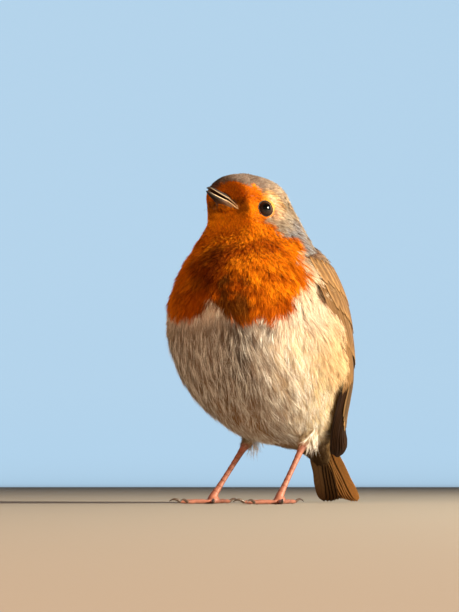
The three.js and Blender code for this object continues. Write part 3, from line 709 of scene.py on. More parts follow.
# feathers that spill over the folded wing, by place along the body (p) and degrees from the back (d): the box
# they grow in, how far the body is raised there, where they grow, their length along the body, heading, tufts
# in a square millimetre
flankEdge = [(6.2, 90), (6.6, 93), (7.2, 96), (7.8, 98), (8.2, 103), (8.7, 104), (8.95, 95), (9.1, 87),
             (9.3, 80), (9.6, 74), (10.1, 70), (10.6, 68), (11.0, 70), (11.3, 79), (11.6, 92), (12.2, 99)]
overlaps = {
    "flank": {"box": (6.3, 11.6, 66, 116), "look": "belly", "slot": "plumage_pale",
              "rise": lambda p, d: 2.0 * (1 - smooth(d, 98, 114)) * smooth(p, 6.4, 7.6),
              "grows": lambda p, d: d > ramp(p + 0.6, flankEdge) + ramp(p, [(8.7, 4.5), (9.3, 20.0)]),
              "length": [(6.3, 4.2), (8.5, 6.2), (11.6, 7.6)], "heading": -0.24, "density": 1.25},
    "scapular": {"box": (6.2, 9.6, 8, 56), "look": "back", "slot": "plumage_brown",
                 "rise": lambda p, d: 2.3 * smooth(d, 12, 30) * smooth(p, 6.2, 7.0),
                 "grows": lambda p, d: d < ramp(p, [(6.2, 56), (7.0, 48), (8.0, 38), (9.6, 26)]),
                 "length": [(6.3, 4.0), (9.6, 6.2)], "heading": 0.16, "density": 1.0},
}


def raised(handed, rise):  # the body's surface lifted to lie over the wing, as seen from one side
    def at(place, angle):
        return turnWithHead(bodyStraight(place, angle, rise(place, np.degrees(angle))) * [handed, 1, 1])
    return at


def overlapTone(place, angle):  # pale flank feathers keep their own colour where they lie over the wing
    spots = bodyStraight(place, angle)
    wander = waves(spots, 5.0, 1) + 0.6 * waves(spots, 2.2, 2)
    pale = mix(tones["sideBreast"], tones["flank"], smooth(place, 8.4, 10.4)) * [0.92, 0.84, 0.80]
    pale = mix(pale, tones["back"] * 1.2, 0.35 * smooth(wander, 0.4, 1.4))
    return mix(plumage(place, angle), pale, span(np.degrees(angle), 60, 64, 96, 104))


def makeOverlaps():
    # the flank's and the shoulder's feathers that lie over the edges of each folded wing
    total = 0
    for side, handed in (("left", 1), ("right", -1)):
        for number, (name, spec) in enumerate(overlaps.items()):
            u0, u1, v0, v1 = spec["box"]
            surface = raised(handed, spec["rise"])
            u, v = rootsOn(surface, (u0, u1, radians(v0), radians(v1)), spec["density"], 41 + number)
            rng = np.random.default_rng(140 + number)
            keep = spec["grows"](u, np.degrees(v) + rng.normal(0, 2.0, len(u)))
            u, v = u[keep], v[keep]
            points = bodySurface(u, v)
            lift = 0.3 + 0.3 * waves(points, 4.5, 22) + rng.normal(0, 0.1, len(u))
            length = ramp(u, spec["length"]) * rng.uniform(0.8, 1.15, len(u))
            heading = spec["heading"] + lieOfCoat(u, v, points) + rng.normal(0, 0.1, len(u))
            shape = coatShape(surface, u, v, coatLooks[spec["look"]], length, heading, 1.0, lift, overlapTone,
                              lambda a, b: bodyBake(a, handed * b), 160 + number, handed)
            total += makePiece(f"{name}{side.capitalize()}", shape, softPlume)
    return total


# the folded wing's rows from the shoulder to the tip: belly-side edge, middle and back-side edge; first on
# the body, as place, degrees from the back and height over it, then free, as x, y, z
wingOnBody = np.array([
    [[6.5, 100, 0.5], [6.4, 76, 0.9], [6.3, 50, 0.5]],
    [[7.2, 100, 1.3], [7.2, 68, 1.6], [7.1, 38, 1.2]],
    [[8.3, 95, 1.5], [8.3, 62, 1.7], [8.2, 30, 1.5]],
    [[9.5, 88, 1.6], [9.4, 56, 1.7], [9.3, 24, 1.5]],
    [[10.8, 85, 1.6], [10.6, 52, 1.7], [10.5, 20, 1.6]],
    [[11.9, 92, 1.7], [11.7, 54, 1.9], [11.5, 19, 1.8]],
])
wingPastBody = np.array([
    [[18.8, 18.4, 25.8], [17.3, 28.4, 25.5], [10.6, 39.2, 27.0]],
    [[13.6, 23.8, 18.9], [14.6, 33.0, 18.6], [11.8, 38.6, 20.4]],
    [[11.8, 32.2, 15.7], [12.1, 33.6, 15.3], [11.6, 35.2, 15.9]],
])
wingTipRaise = {"left": 0.0, "right": 5.8}
wingRows = np.concatenate([
    bodyStraight(wingOnBody[..., 0], np.radians(wingOnBody[..., 1]), wingOnBody[..., 2]), wingPastBody,
]).reshape(-1, 9)


def wingSurface(side):  # place in rows and share from the belly-side edge to the back-side edge
    def at(place, across):
        row = catmullRom(wingRows, place)
        row = row.reshape(*row.shape[:-1], 3, 3)
        points = np.einsum("...q,...qc->...c", parabola(np.asarray(across, float)), row)
        lift = wingTipRaise[side] * smooth(np.asarray(place, float), 4.5, 8)
        return (points + lift[..., None] * [0, 0.3, 1]) * [1 if side == "left" else -1, 1, 1]
    return at


def underWing(place, angle):  # true where the folded wing hides the body
    off = np.abs((np.degrees(angle) + 180) % 360 - 180)
    low = ramp(place, [(7.2, 92), (8.3, 87), (9.5, 80), (10.8, 77), (11.9, 80), (13.0, 80)])
    high = ramp(place, [(7.2, 46), (8.3, 38), (9.5, 32), (10.8, 28), (11.9, 27), (13.0, 27)])
    return (off > high) & (off < low) & (place > 7.2) & (place < 12.6)


# stations across a vane: -1 at its outer edge, 0 on the shaft and 1 at its inner edge
vaneAcross = np.array([-1, -0.92, -0.75, -0.45, -0.15, -0.05, 0, 0.05, 0.15, 0.45, 0.6, 0.68, 0.78, 0.86,
                       0.93, 1])
vaneDefaults = {"rows": 15, "blunt": 0.3, "inner": 1.0, "shaft": 0.12, "dome": 0.35, "fray": 0.03,
                "step": 0.1, "thick": 0.16, "keel": 0.0}


def vaneShape(surface, root, tip, look, order, box, colourOf, handed, seed, flip=1):
    # a thin leaf along a line on the surface: width by its profile, domed across, with a ridge for the shaft
    look = {**vaneDefaults, **look}
    rng = np.random.default_rng(seed)
    q, s = vaneAcross, np.linspace(0, 1, look["rows"])
    u = root[0] + (tip[0] - root[0]) * s
    v = root[1] + (tip[1] - root[1]) * s + rng.normal(0, 0.01) * 4 * s * (1 - s)
    path, _, _, normal = frameOf(surface, u, v, handed)
    side = flip * unit(np.cross(normal, unit(np.gradient(path, axis=0))))
    long = np.linalg.norm(np.diff(path, axis=0), axis=-1).sum()
    body = ramp(s, [(0, 0.35), (0.25, 0.8), (0.55, 1), (1, 0.96)])
    end = np.sqrt(np.clip(1 - (np.clip(s - 1 + look["blunt"], 0, 1) / look["blunt"]) ** 2.2, 0.0004, 1))
    half = look["half"] * body * end * (1 + 0.05 * np.sin(s * 23 + seed))
    wide = np.where(q < 0, 1.0, look["inner"]) * q
    ridge = look["shaft"] * bell(q, 0, 0.08)
    fray = 1 + rng.normal(0, look["fray"], (len(s), len(q))) * np.abs(q) ** 4
    height = look["root"] + (look["tip"] - look["root"]) * s + order * look["step"]
    domed = height[:, None] - look["dome"] * q**2 * half[:, None] / 3 + ridge * (1 - 0.7 * s)[:, None]
    middle = path[:, None] + side[:, None] * (half[:, None] * wide * fray)[..., None]
    top = middle + normal[:, None] * domed[..., None]
    thick = look["thick"] * (1 - 0.6 * q**2) + look["keel"] * ridge
    bottom = top - normal[:, None] * thick[:, None]
    ringQ = np.concatenate([q, q[::-1]])
    under = np.repeat([0.0, 1.0], len(q))
    lie = np.stack(np.broadcast_arrays(ringQ * look["half"], (s * long)[:, None]), -1)
    colour = colourOf(s[:, None], ringQ[None], under[None], rng.normal(0, 1))
    return outward(gridShape(np.concatenate([top, bottom[:, ::-1]], 1), colour, box, lie=lie))


vaneTones = {
    "brown": (0.18, 0.095, 0.037), "olive": (0.31, 0.178, 0.074), "edge": (0.20, 0.11, 0.045),
    "dark": (0.018, 0.006, 0.0015), "darkEdge": (0.065, 0.035, 0.016), "dusky": (0.10, 0.058, 0.026),
    "shaft": (0.045, 0.025, 0.012), "paleShaft": (0.42, 0.27, 0.13), "tail": (0.13, 0.062, 0.02),
    # tailUnderLit and underEdgeLit: painted light for the undersides on the lit side
    "tailEdge": (0.30, 0.18, 0.075), "tailUnderLit": (0.725, 0.35, 0.105), "underEdgeLit": (0.80, 0.44, 0.16),
}
vaneTones = {name: np.array(tone) for name, tone in vaneTones.items()}


def vaneColour(web, edge, edgeFrom=0.7, tipEdge=0.9, shaft="shaft", beneath=None):
    # the web's tone with a paler fringe along its outer edge and round its tip, and a line for the shaft;
    # beneath, its own tones with a near-black band of painted shadow between feathers, and a line near each
    # edge
    def at(s, q, under, luck):
        outer, inner = smooth(-q, edgeFrom, edgeFrom + 0.3), 0.35 * smooth(q, 0.8, 1.0)
        fringe = np.maximum(np.maximum(outer, inner), 0.85 * smooth(s, tipEdge, 1.0))
        share = np.clip(fringe + 0 * under, 0, 1)
        base = mix(vaneTones[web], vaneTones[edge], share * (1 + 0.1 * luck)) * (1 + 0.1 * luck)
        if beneath:
            plain, line = (vaneTones[name] for name in beneath)
            # painted shadow: a near-black band across the underside, between feathers
            below = mix(plain, plain * 0.05, span(q, 0.5, 0.62, 0.74, 0.84))
            below = mix(below, line, smooth(q, 0.88, 0.96) + 0.5 * smooth(-q, 0.55, 0.9))
            base = mix(base, below, under)
        rib = bell(q, 0, 0.06) * (1 - 0.7 * s) + 0 * under
        return mix(base, vaneTones[shaft], 0.8 * rib)
    return at


# each group: how many feathers, the lines that their roots and tips stand on (place, share across), half
# width, height over the wing at root and tip and from one feather to the next, then the rest of their look
wingGroups = {
    "primaries": dict(count=9, roots=[(2.5, -0.02), (3.0, 0.14), (3.6, 0.40)], half=2.3, root=-0.9, tip=-0.7,
                      tips=[(7.6, 0.22), (7.97, 0.45), (6.3, 0.66)], shaft=0.16, blunt=0.14, inner=1.4,
                      dome=0.3, rows=24, fray=0.015, tone=("dark", "darkEdge", 0.86, 0.99)),
    "secondaries": dict(count=7, roots=[(2.6, 0.16), (3.0, 0.62)], half=2.7, root=-0.4, tip=0.0, step=0.08,
                        tips=[(5.6, 0.30), (6.15, 0.52), (5.7, 0.74)], blunt=0.2, inner=1.25, rows=20,
                        fray=0.02, tone=("dusky", "olive", 0.5, 0.95)),
    "tertials": dict(count=4, roots=[(2.8, 0.64), (2.6, 0.90)], half=3.1, root=0.1, tip=0.3, step=0.12,
                     tips=[(5.9, 0.70), (5.2, 0.78), (4.4, 0.88)], rows=18,
                     tone=("brown", "olive", 0.5, 0.93)),
    "alula": dict(count=3, roots=[(1.4, -0.02), (1.3, 0.06)], half=1.3, root=-0.1, tip=0.05, step=0.12,
                  tips=[(3.9, -0.02), (3.1, 0.06)], blunt=0.25, tone=("brown", "edge", 0.6, 0.95)),
    "primaryCoverts": dict(count=5, roots=[(2.1, 0.0), (2.0, 0.14)], half=1.6, root=-0.1, tip=0.0, step=0.08,
                           tips=[(4.6, 0.03), (4.2, 0.20)], blunt=0.25, tone=("brown", "olive", 0.5, 0.93)),
    "greaterCoverts": dict(count=11, roots=[(1.5, 0.10), (2.7, 0.88)], half=2.1, root=0.1, tip=0.35,
                           tips=[(3.2, 0.13), (3.75, 0.5), (4.35, 0.86)], step=0.05, blunt=0.45,
                           tone=("brown", "olive", 0.42, 0.84)),
    "medianCoverts": dict(count=11, roots=[(0.9, 0.08), (2.0, 0.92)], half=1.9, root=0.3, tip=0.6, step=0.04,
                          tips=[(2.2, 0.10), (2.75, 0.5), (3.3, 0.88)], blunt=0.5, rows=12,
                          tone=("brown", "olive", 0.4, 0.76)),
    "lesserCoverts": dict(count=10, roots=[(0.4, 0.08), (1.3, 0.94)], half=1.8, root=0.4, tip=0.75, step=0.04,
                          tips=[(1.5, 0.08), (1.95, 0.5), (2.5, 0.92)], blunt=0.5, rows=12,
                          tone=("brown", "olive", 0.35, 0.7)),
}


def pointAlong(line, share):  # a point at an even share along a short list of points
    return [np.interp(share * (len(line) - 1), np.arange(len(line)), values) for values in zip(*line)]


def bakeCell(index, across, down, margin=0.004):  # one of a sheet's even cells, less a margin
    x, y = index % across / across, index // across / down
    return x + margin, y + margin, x + 1 / across - margin, y + 1 / down - margin


def makeWings():
    # every feather of a wing lies on its surface from a root to a tip, each group over the one before
    total = 0
    cells = int(np.ceil(np.sqrt(sum(group["count"] for group in wingGroups.values()))))
    for side, handed in (("left", -1), ("right", 1)):
        surface, shapes = wingSurface(side), []
        for number, group in enumerate(wingGroups.values()):
            for i, share in enumerate(np.linspace(0, 1, group["count"])):
                root, tip = pointAlong(group["roots"], share), pointAlong(group["tips"], share)
                shapes.append(vaneShape(surface, root, tip, group, i, bakeCell(len(shapes), cells, cells),
                                        vaneColour(*group["tone"]), handed, 300 + 17 * number + i, -handed))
        hides = [f"{part}_{side}" for part in ("wing_coverts", "wing_secondaries", "wing_primaries")]
        total += makePiece(f"wing{side.capitalize()}", join(shapes), stiffPlume, hides)
        total += makeShoulder(side, surface, handed)
    return total


def makeShoulder(side, surface, handed):
    # soft small feathers over the coverts, thick at the shoulder and thin further down
    def density(place, across):
        return 1.2 - 1.0 * smooth(place - 0.9 * across, 0.6, 1.9)

    def tone(place, across):
        spots = surface(place, across)
        front = smooth(0.10 + 0.06 * waves(spots, 3.0, 8) - across, 0.0, 0.12) * (1 - smooth(place, 1.4, 2.4))
        return wash(tones["back"], [
            (vaneTones["olive"], 0.5 + 0.4 * waves(spots, 1.8, 9)),
            ("crownPale", 0.5 * (1 - smooth(place, 0.8, 2.2))),
            ("sideBreast", 0.8 * front),
            ("grey", 0.4 * (1 - smooth(place, 0.1, 0.9))),
        ])

    u, v = rootsOn(surface, (0.05, 3.0, -0.02, 1.0), density, 31)
    points = surface(u, v)
    length = np.random.default_rng(77).uniform(3.2, 4.6, len(u))
    heading, lift = 0.1 * waves(points, 8, 5), 0.65 + 0.2 * waves(points, 4, 6)
    shape = coatShape(surface, u, v, coatLooks["back"], length, heading, 1.2, lift, tone,
                      lambda p, q: np.stack([q, p / 8], -1), 78, handed)
    return makePiece(f"shoulder{side.capitalize()}", shape, softPlume)


# the tail: root and tip of its middle line, rise of its roof, pairs of feathers and how far each lies lower,
# half width by share of its length, and the look of one feather
tail = {"root": np.array([0, 36.4, 30.4]), "tip": np.array([0, 57.2, 0.2]), "roof": 1.5, "pairs": 6,
        "fall": 0.22, "widths": [(0, 5.2), (0.35, 6.4), (0.88, 8.5), (1, 8.5)],
        "vane": dict(half=2.3, blunt=0.12, inner=1.1, dome=0.5, shaft=0.08, keel=1.8, rows=26, thick=0.14,
                     fray=0.012)}


def tailSurface(s, x):
    # share of the way to the tip, and -1 to 1 across; the middle stands higher like a roof
    s, x = np.broadcast_arrays(np.asarray(s, float), np.asarray(x, float))
    down = tail["tip"] - tail["root"]
    above = unit(np.array([0, -down[2], down[1]]))
    roof = tail["roof"] * (1 - x**2) * (1 - 0.8 * s)
    points = tail["root"] + s[..., None] * down + roof[..., None] * above
    points[..., 0] = x * ramp(s, tail["widths"])
    return points


def makeTail():
    # from the middle pair, on top, each pair further out lies a little lower; the outer edges are paler, and
    # the undersides on the bird's left, the lit side, are painted brighter with pale shafts as painted light
    shapes = []
    # painted light: the left side's undersides in bright orange-brown, the right side's in the upper web's
    # tones
    colours = {1: vaneColour("tail", "tailEdge", 0.62, 0.985, "paleShaft", ("tailUnderLit", "underEdgeLit")),
               -1: vaneColour("tail", "tailEdge", 0.62, 0.985, "shaft", ("edge", "tail"))}
    for pair in range(tail["pairs"]):
        for sign in (1, -1):
            out = sign * (pair + 0.3) / tail["pairs"] * 0.9
            long = 1.0 - 0.04 * abs(abs(out) - 0.5)
            low = 0.5 - tail["fall"] * pair - (0.08 if sign < 0 else 0)
            look = dict(tail["vane"], root=low, tip=low)
            cell = bakeCell(len(shapes), 4, 3)
            shape = vaneShape(tailSurface, (0.0, 0.5 * out), (long, out), look, 0, cell, colours[sign], 1,
                              500 + len(shapes), sign)
            shapes.append(dict(shape, points=onFloor(shape["points"])))
    return makePiece("tailFeathers", join(shapes), stiffPlume, ["tail"])


# the bill's rows: forward, half width, height of the upper half, depth of the lower half
billRows = np.array([
    [9.0, 5.2, 1.2, 0.3], [10.6, 4.5, 1.7, 0.7], [12.0, 3.4, 1.9, 1.1], [13.4, 2.55, 1.85, 1.35],
    [17.0, 1.55, 1.45, 1.2], [20.0, 0.9, 0.95, 0.75], [21.6, 0.46, 0.5, 0.42], [22.2, 0.12, 0.14, 0.14],
])
bill = {"gape": -3.0, "upperTip": -2.2, "lowerTip": -3.6, "opening": 0.3, "gapeDrop": 2.0, "dropFrom": 13.5,
        "dropTo": 9.0, "lowerWidth": 0.85, "hook": 0.45, "bristles": 9,
        "dark": (0.024, 0.021, 0.020), "brown": (0.055, 0.040, 0.031), "pale": (0.88, 0.66, 0.44),
        "flesh": (0.16, 0.098, 0.07), "mouth": (0.05, 0.02, 0.012), "gapeTone": (1.0, 0.76, 0.42)}


def billEdge(way, forward):  # height of the cutting edge, which bends down at the corner of the mouth
    share = (forward - billRows[0, 0]) / (billRows[-1, 0] - billRows[0, 0])
    start = bill["gape"] + way * bill["opening"] / 2
    edge = start + share * (np.where(way > 0, bill["upperTip"], bill["lowerTip"]) - start)
    return edge - bill["gapeDrop"] * (1 - smooth(forward, bill["dropTo"], bill["dropFrom"]))


def billSize(forward):  # half width, height of the upper half and depth of the lower half
    return [np.interp(forward, billRows[:, 0], billRows[:, k]) for k in (1, 2, 3)]


def billTone(way, ahead, high, x, slot):
    # dark horn, paler along the cutting edge and flesh at the lower half's base, with painted shade in deep
    # orange over that base's right side; high is 0 at the edge
    streak = waves(np.stack([ahead * 0.35, 3 * high, np.sign(x)], -1), 1.2, 14)
    if way > 0:
        colour = wash(bill["brown"], [
            (bill["dark"], smooth(high, 0.1, 0.55)),
            (bill["pale"], 0.9 * (1 - smooth(high, 0.03, 0.12)) * (1 - smooth(ahead, 19.5, 21.8))),
        ])
    else:
        back = 1 - smooth(ahead + 0.5 * streak, 11.0, 13.5)
        colour = wash(bill["dark"], [
            (bill["flesh"], 1 - smooth(ahead + 0.5 * streak, 12.5, 17.0)),
            (bill["pale"], back * (0.45 + 0.25 * streak)),
            (bill["pale"], 0.9 * (1 - smooth(high, 0.08, 0.3)) * (1 - smooth(ahead, 18.0, 21.5))),
            # painted shade: the base of the lower half turns deep orange on the right side
            (tones["orangeDeep"] * 0.6, smooth(-x, 0.3, 1.6) * (1 - smooth(ahead, 11.5, 14.0))),
        ])
    gape = 0.8 * (1 - smooth(ahead, 10.0, 11.2)) * (high < 0.4)
    return wash(colour, [(bill["gapeTone"], gape), (bill["dark"], 0.9 * slot)])


def billHalf(way):
    # arcs from edge to edge over a ridge, then back along a hollow inside, at stations out to the tip
    rows, arc, inside = 48, 19, 8
    forward, half, upper, lower = catmullRom(billRows, np.linspace(0, len(billRows) - 1, rows)).T
    edge = billEdge(way, forward)
    if way > 0:  # the upper tip hooks down a little
        edge = edge - bill["hook"] * smooth(forward, 20.6, 22.2)
        tall, fullness = upper, 0.82
    else:
        half = half * (bill["lowerWidth"] - 0.22 * (1 - smooth(forward, 9.5, 12.0)))
        tall, fullness = lower, 0.7
    a, back = np.linspace(0, pi, arc), np.linspace(-1, 1, inside + 2)[1:-1]
    ring = np.array([[*np.cos(a), *back], [*np.sin(a) ** fullness, *0.30 * (1 - back**2)]])
    x = half[:, None] * ring[0]
    x = x * (1 - 0.25 * (x < 0) * (1 - smooth(forward, 9.5, 12.5))[:, None])
    up = edge[:, None] + way * tall[:, None] * ring[1]
    ahead, high = np.broadcast_arrays(forward[:, None], ring[1])
    slot = np.zeros_like(x)
    if way > 0:  # the nostril, a slanting slot near the base
        slot[:, :arc] = (bell(ahead, 12.8, 0.75) * bell(high, 0.52, 0.16))[:, :arc]
        x = x - np.sign(x) * 0.3 * slot
    colour = billTone(way, ahead, high, x, slot)
    colour[:, arc:] = bill["mouth"]
    return outward(gridShape(turnWithHead(inHead(ahead, up, x)), colour))


# way, from and to along the bill, least and greatest angle over it, how far the sides stop short, lengths
billTufts = {
    "nasal": (1, 9.4, 13.2, 28, 152, 3.0, (1.26, 2.07)),
    "chin": (-1, 9.2, 14.0, 24, 156, 3.6, (1.05, 1.725)),
}
billTuftLook = dict(coatLooks["short"], strands=5, spread=(0.08, 0.3), width=0.045, loose=0.1)


def overBill(way):  # a surface just outside one half of the bill, by forward and angle round it
    def at(forward, turn, clear=0.25):
        half, upper, lower = billSize(forward)
        tall = (upper if way > 0 else lower) + clear + 0.5 * (1 - smooth(forward, 11.0, 13.5))
        wide = half * (1 if way > 0 else bill["lowerWidth"]) + clear
        rise = way * tall * np.clip(np.sin(turn), 0, 1) ** 0.82
        return turnWithHead(inHead(forward, billEdge(way, forward) + rise, wide * np.cos(turn)))
    return at


def makeBillTufts():
    # short feathers that point forward over the bill's base and close the blunt front of the head round it;
    # those over the bill darken towards the right side as painted shade
    shapes = []
    for number, (way, u0, u1, v0, v1, slack, long) in enumerate(billTufts.values()):
        at = overBill(way)
        u, v = rootsOn(at, (u0, u1, radians(v0), radians(v1)), 7.0, 81 + number)
        keep = u < u1 - slack * np.abs(np.cos(v))
        handed = handOf(at, 11.0, pi / 2, at(11.0, pi / 2, 1.25) - at(11.0, pi / 2))

        def tone(forward, turn):
            spots = at(forward, turn)
            # painted shade: darker and slate towards the right side
            dark = smooth(waves(spots, 2.0, 84 + number) + 0.5 * smooth(-spots[..., 0], -1.0, 3.0), -0.1, 0.9)
            if way < 0:
                return mix(tones["orange"], tones["lore"], 0.5 * dark)
            return wash(tones["orange"] * 0.9, [("lore", 0.35 + 0.6 * dark),
                                                ("slateShade", 0.8 * smooth(-spots[..., 0], -0.5, 2.0))])

        def bakeAt(forward, turn):
            return np.stack([0.3 + 0.02 * number + 0 * forward, turn / pi], -1)

        shapes.append(looseTufts(at, (u[keep], v[keep]), billTuftLook, long, 0.22, 0.25, (0.15, 0.08), tone,
                                 bakeAt, 85 + number, handed, np.random.default_rng(83 + number)))
    middle = bodySurface(np.zeros(64), circleOf(64)).mean(0)

    def blunt(out, turn):  # from the front's middle out to where the body's surface starts
        edge = bodySurface(0 * out, turn)
        return middle + out[..., None] * (edge - middle) + (0.4 * (1 - out**2))[..., None] * [0, -1, 0]

    u, v = rootsOn(blunt, (0.1, 1.0, 0, 2 * pi), 16.0, 88)
    forward, up, left = headPlace(blunt(u, v))
    half, upper, lower = billSize(forward)
    arch = np.sqrt(np.clip(1 - (left / half) ** 2, 0, 1))
    keep = (up > billEdge(1, forward) + upper * arch - 0.1) | (up < billEdge(-1, forward) - lower * arch)
    shapes.append(looseTufts(blunt, (u[keep], v[keep]), billTuftLook, (1.0, 1.6), 0.25, 0.3, (0.15, 0.08),
                             lambda a, b: plumage(0.15 + 0 * a, b),
                             lambda a, b: np.stack([0.6 + 0.02 * a, b / (2 * pi)], -1), 90,
                             handOf(blunt, 0.5, 0.0, np.array([0, -1, 0])), np.random.default_rng(89)))
    return makePiece("billTufts", join(shapes), softPlume)


# the fold at the mouth's corner: forward, height over the edge, share of the half width, edge, radius;
# the edge is -1 on the lower half of the bill and 1 on the upper
gapeFold = np.array([
    [14.8, -0.12, 0.84, -1, 0.02], [13.4, -0.14, 0.86, -1, 0.10], [12.0, -0.16, 0.90, -1, 0.17],
    [10.6, -0.18, 0.95, -1, 0.26], [9.3, -0.05, 1.02, -0.7, 0.34], [8.5, 0.0, 1.08, 0, 0.34],
    [9.3, 0.05, 1.02, 0.7, 0.3], [10.6, 0.16, 0.97, 1, 0.2], [12.0, 0.14, 0.98, 1, 0.12],
    [13.2, 0.12, 0.99, 1, 0.02],
])


def bristle(sign, rng):  # a thin dark hair that leaves the lore and curves down
    forward, up = rng.uniform(8.6, 11.6), rng.uniform(0.5, 2.6)
    wide = billSize(forward)[0]
    root = np.array([forward, billEdge(1, forward) + up, sign * (wide * (1.0 - 0.12 * up))])
    way = np.array([rng.uniform(0.7, 1.0), rng.uniform(-0.55, 0.1), sign * rng.uniform(0.25, 0.6)])
    reach = np.array([0, 0.35, 0.7, 1.0])[:, None] * rng.uniform(2.2, 4.0)
    droop = reach**2 * np.array([0, -0.05, sign * 0.02])
    line = turnWithHead(inHead(*(root + reach * way + droop).T))
    return outward(gridShape(tubeGrid(line, [0.05, 0.045, 0.035, 0.012], 7, 5), bill["dark"]))


def makeGape():
    # a soft pale fold of skin at each corner of the mouth, thinner on the right and darkened there towards
    # the lores' tone as painted shade, and stiff bristles above it
    shapes = []
    rng = np.random.default_rng(91)
    ahead, rise, wide, edge, radii = gapeFold.T
    rows, sides = 44, 12
    middle = smooth(np.abs(np.linspace(-1.1, 0.9, rows)), 0.3, 0.8)[:, None] * np.ones(sides)
    for sign in (1, -1):
        half = billSize(ahead)[0] * wide * (1 - 0.3 * (sign < 0) * (1 - smooth(ahead, 9.5, 12.5)))
        fold = turnWithHead(inHead(ahead, billEdge(edge, ahead) + rise, sign * half))
        tone = mix(bill["gapeTone"], bill["pale"], middle)
        # painted shade: the right fold takes most of the lores' dark tone
        tone, thin = (tone, 1) if sign > 0 else (mix(tone, tones["lore"], 0.85), 0.5)
        shapes.append(outward(gridShape(tubeGrid(fold, radii * thin, rows, sides), tone)))
        shapes += [bristle(sign, rng) for _ in range(bill["bristles"])]
    return makePiece("gape", join(shapes), billHorn)


# the eyes
def eyeFrame(way):  # a unit vector that way and two across it
    a = unit(np.array(way, float))
    e1 = unit(np.cross(a, [0, 0, 1.0]))
    return a, e1, np.cross(a, e1)


def eyeball(sign):
    # a ball in rings round the way it looks: pupil, iris and dark rim by the angle from its middle
    rings, sides = 46, 64
    ahead, up, out = eye["lookTo"]
    a, e1, e2 = eyeFrame([sign * out, -cosPitch * ahead + sinPitch * up, sinPitch * ahead + cosPitch * up])
    off, turn = np.linspace(0.02, pi - 0.02, rings)[:, None], circleOf(sides)[None]
    ball = np.cos(off)[..., None] * a + np.sin(off)[..., None] * radialOf(turn, e1, e2)
    bulge = 1 + 0.03 * bell(off, 0, 0.6)  # the clear front stands out a little
    degrees = np.degrees(off) + 0 * turn
    iris = mix((0.020, 0.009, 0.006), (0.009, 0.004, 0.003), smooth(degrees, 36, 50))
    streaks = 1 + 0.25 * np.sin(turn * 31 + 3 * np.sin(turn * 7))
    colour = mix((0.001, 0.001, 0.001), iris * streaks[..., None], smooth(degrees, 24, 30))
    return outward(gridShape(eyeCentre(sign) + eye["radius"] * ball * bulge[..., None], colour))


def lidRing(sign):
    # a soft rim round the ball where the skin meets it, thicker above
    a, e1, e2 = eyeFrame(eyeAxis(sign))
    around = np.linspace(0, 2 * pi, 12, endpoint=False)[None]
    radial = radialOf(circleOf(56)[:, None], e1, e2)
    radius = eye["radius"] * np.sin(eye["opening"]) + 0.20
    deep = eye["radius"] * np.cos(eye["opening"]) - 0.12
    lid = 0.17 * (1 + 0.25 * radial[..., 2])
    points = (eyeCentre(sign) + a * (deep + lid * np.sin(around))[..., None]
              + radial * (radius + 0.9 * lid * np.cos(around))[..., None])
    return outward(gridShape(np.concatenate([points, points[:1]]), (0.014, 0.009, 0.007), caps=False))


def rimTufts(sign):
    # short feathers that stand round the lid and point away from the eye, pale behind it and below it
    a, e1, e2 = eyeFrame(eyeAxis(sign))

    def at(out, turn):
        rise = 1.62 - 0.30 * out - 0.02 * out**2
        return eyeCentre(sign) + a * rise[..., None] + radialOf(turn, e1, e2) * (2.5 + out)[..., None]

    def tone(out, turn):
        forward, up, _ = headPlace(at(out, turn))
        f, g = forward - eye["place"][0], up - eye["place"][1]
        below = smooth(-g, 1.2, 2.2) * (1 - smooth(out, 0.2, 0.7))
        pale = np.clip(smooth(-f + 0.2 * g, -0.4, 1.2) + below, 0, 1)
        above = smooth(g + 0.3 * f, 0.6, 2.0) * smooth(out, 0.1, 0.6)
        return wash(tones["orange"] * 0.9, [((0.95, 0.50, 0.16), pale), ("gold", 0.7 * above)])

    look = dict(coatLooks["short"], strands=5, spread=(0.1, 0.28), width=0.05, strandVary=0.08,
                shades=(0.7, 0.95, 1.05, 1.1))
    roots = rootsOn(at, (0.0, 1.4, 0.0, 2 * pi), 10.0, 61)
    return looseTufts(at, roots, look, (0.8, 1.25), 0.2, 0.15, (0.12, 0.04), tone,
                      lambda p, q: np.stack([0.1 + 0.05 * sign + p * 0.02, q / (2 * pi)], -1), 63,
                      handOf(at, 0.5, 0.0, a), np.random.default_rng(62))


# the legs
legs = {
    "left": {"foot": (10.8, -4.2), "ankle": (12.9, 8.6), "knee": (13.2, 14.2, 29), "sign": 1},
    "right": {"foot": (-14.9, -4.2), "ankle": (-9.4, 8.2), "knee": (-8.8, 13.6, 29), "sign": -1},
}
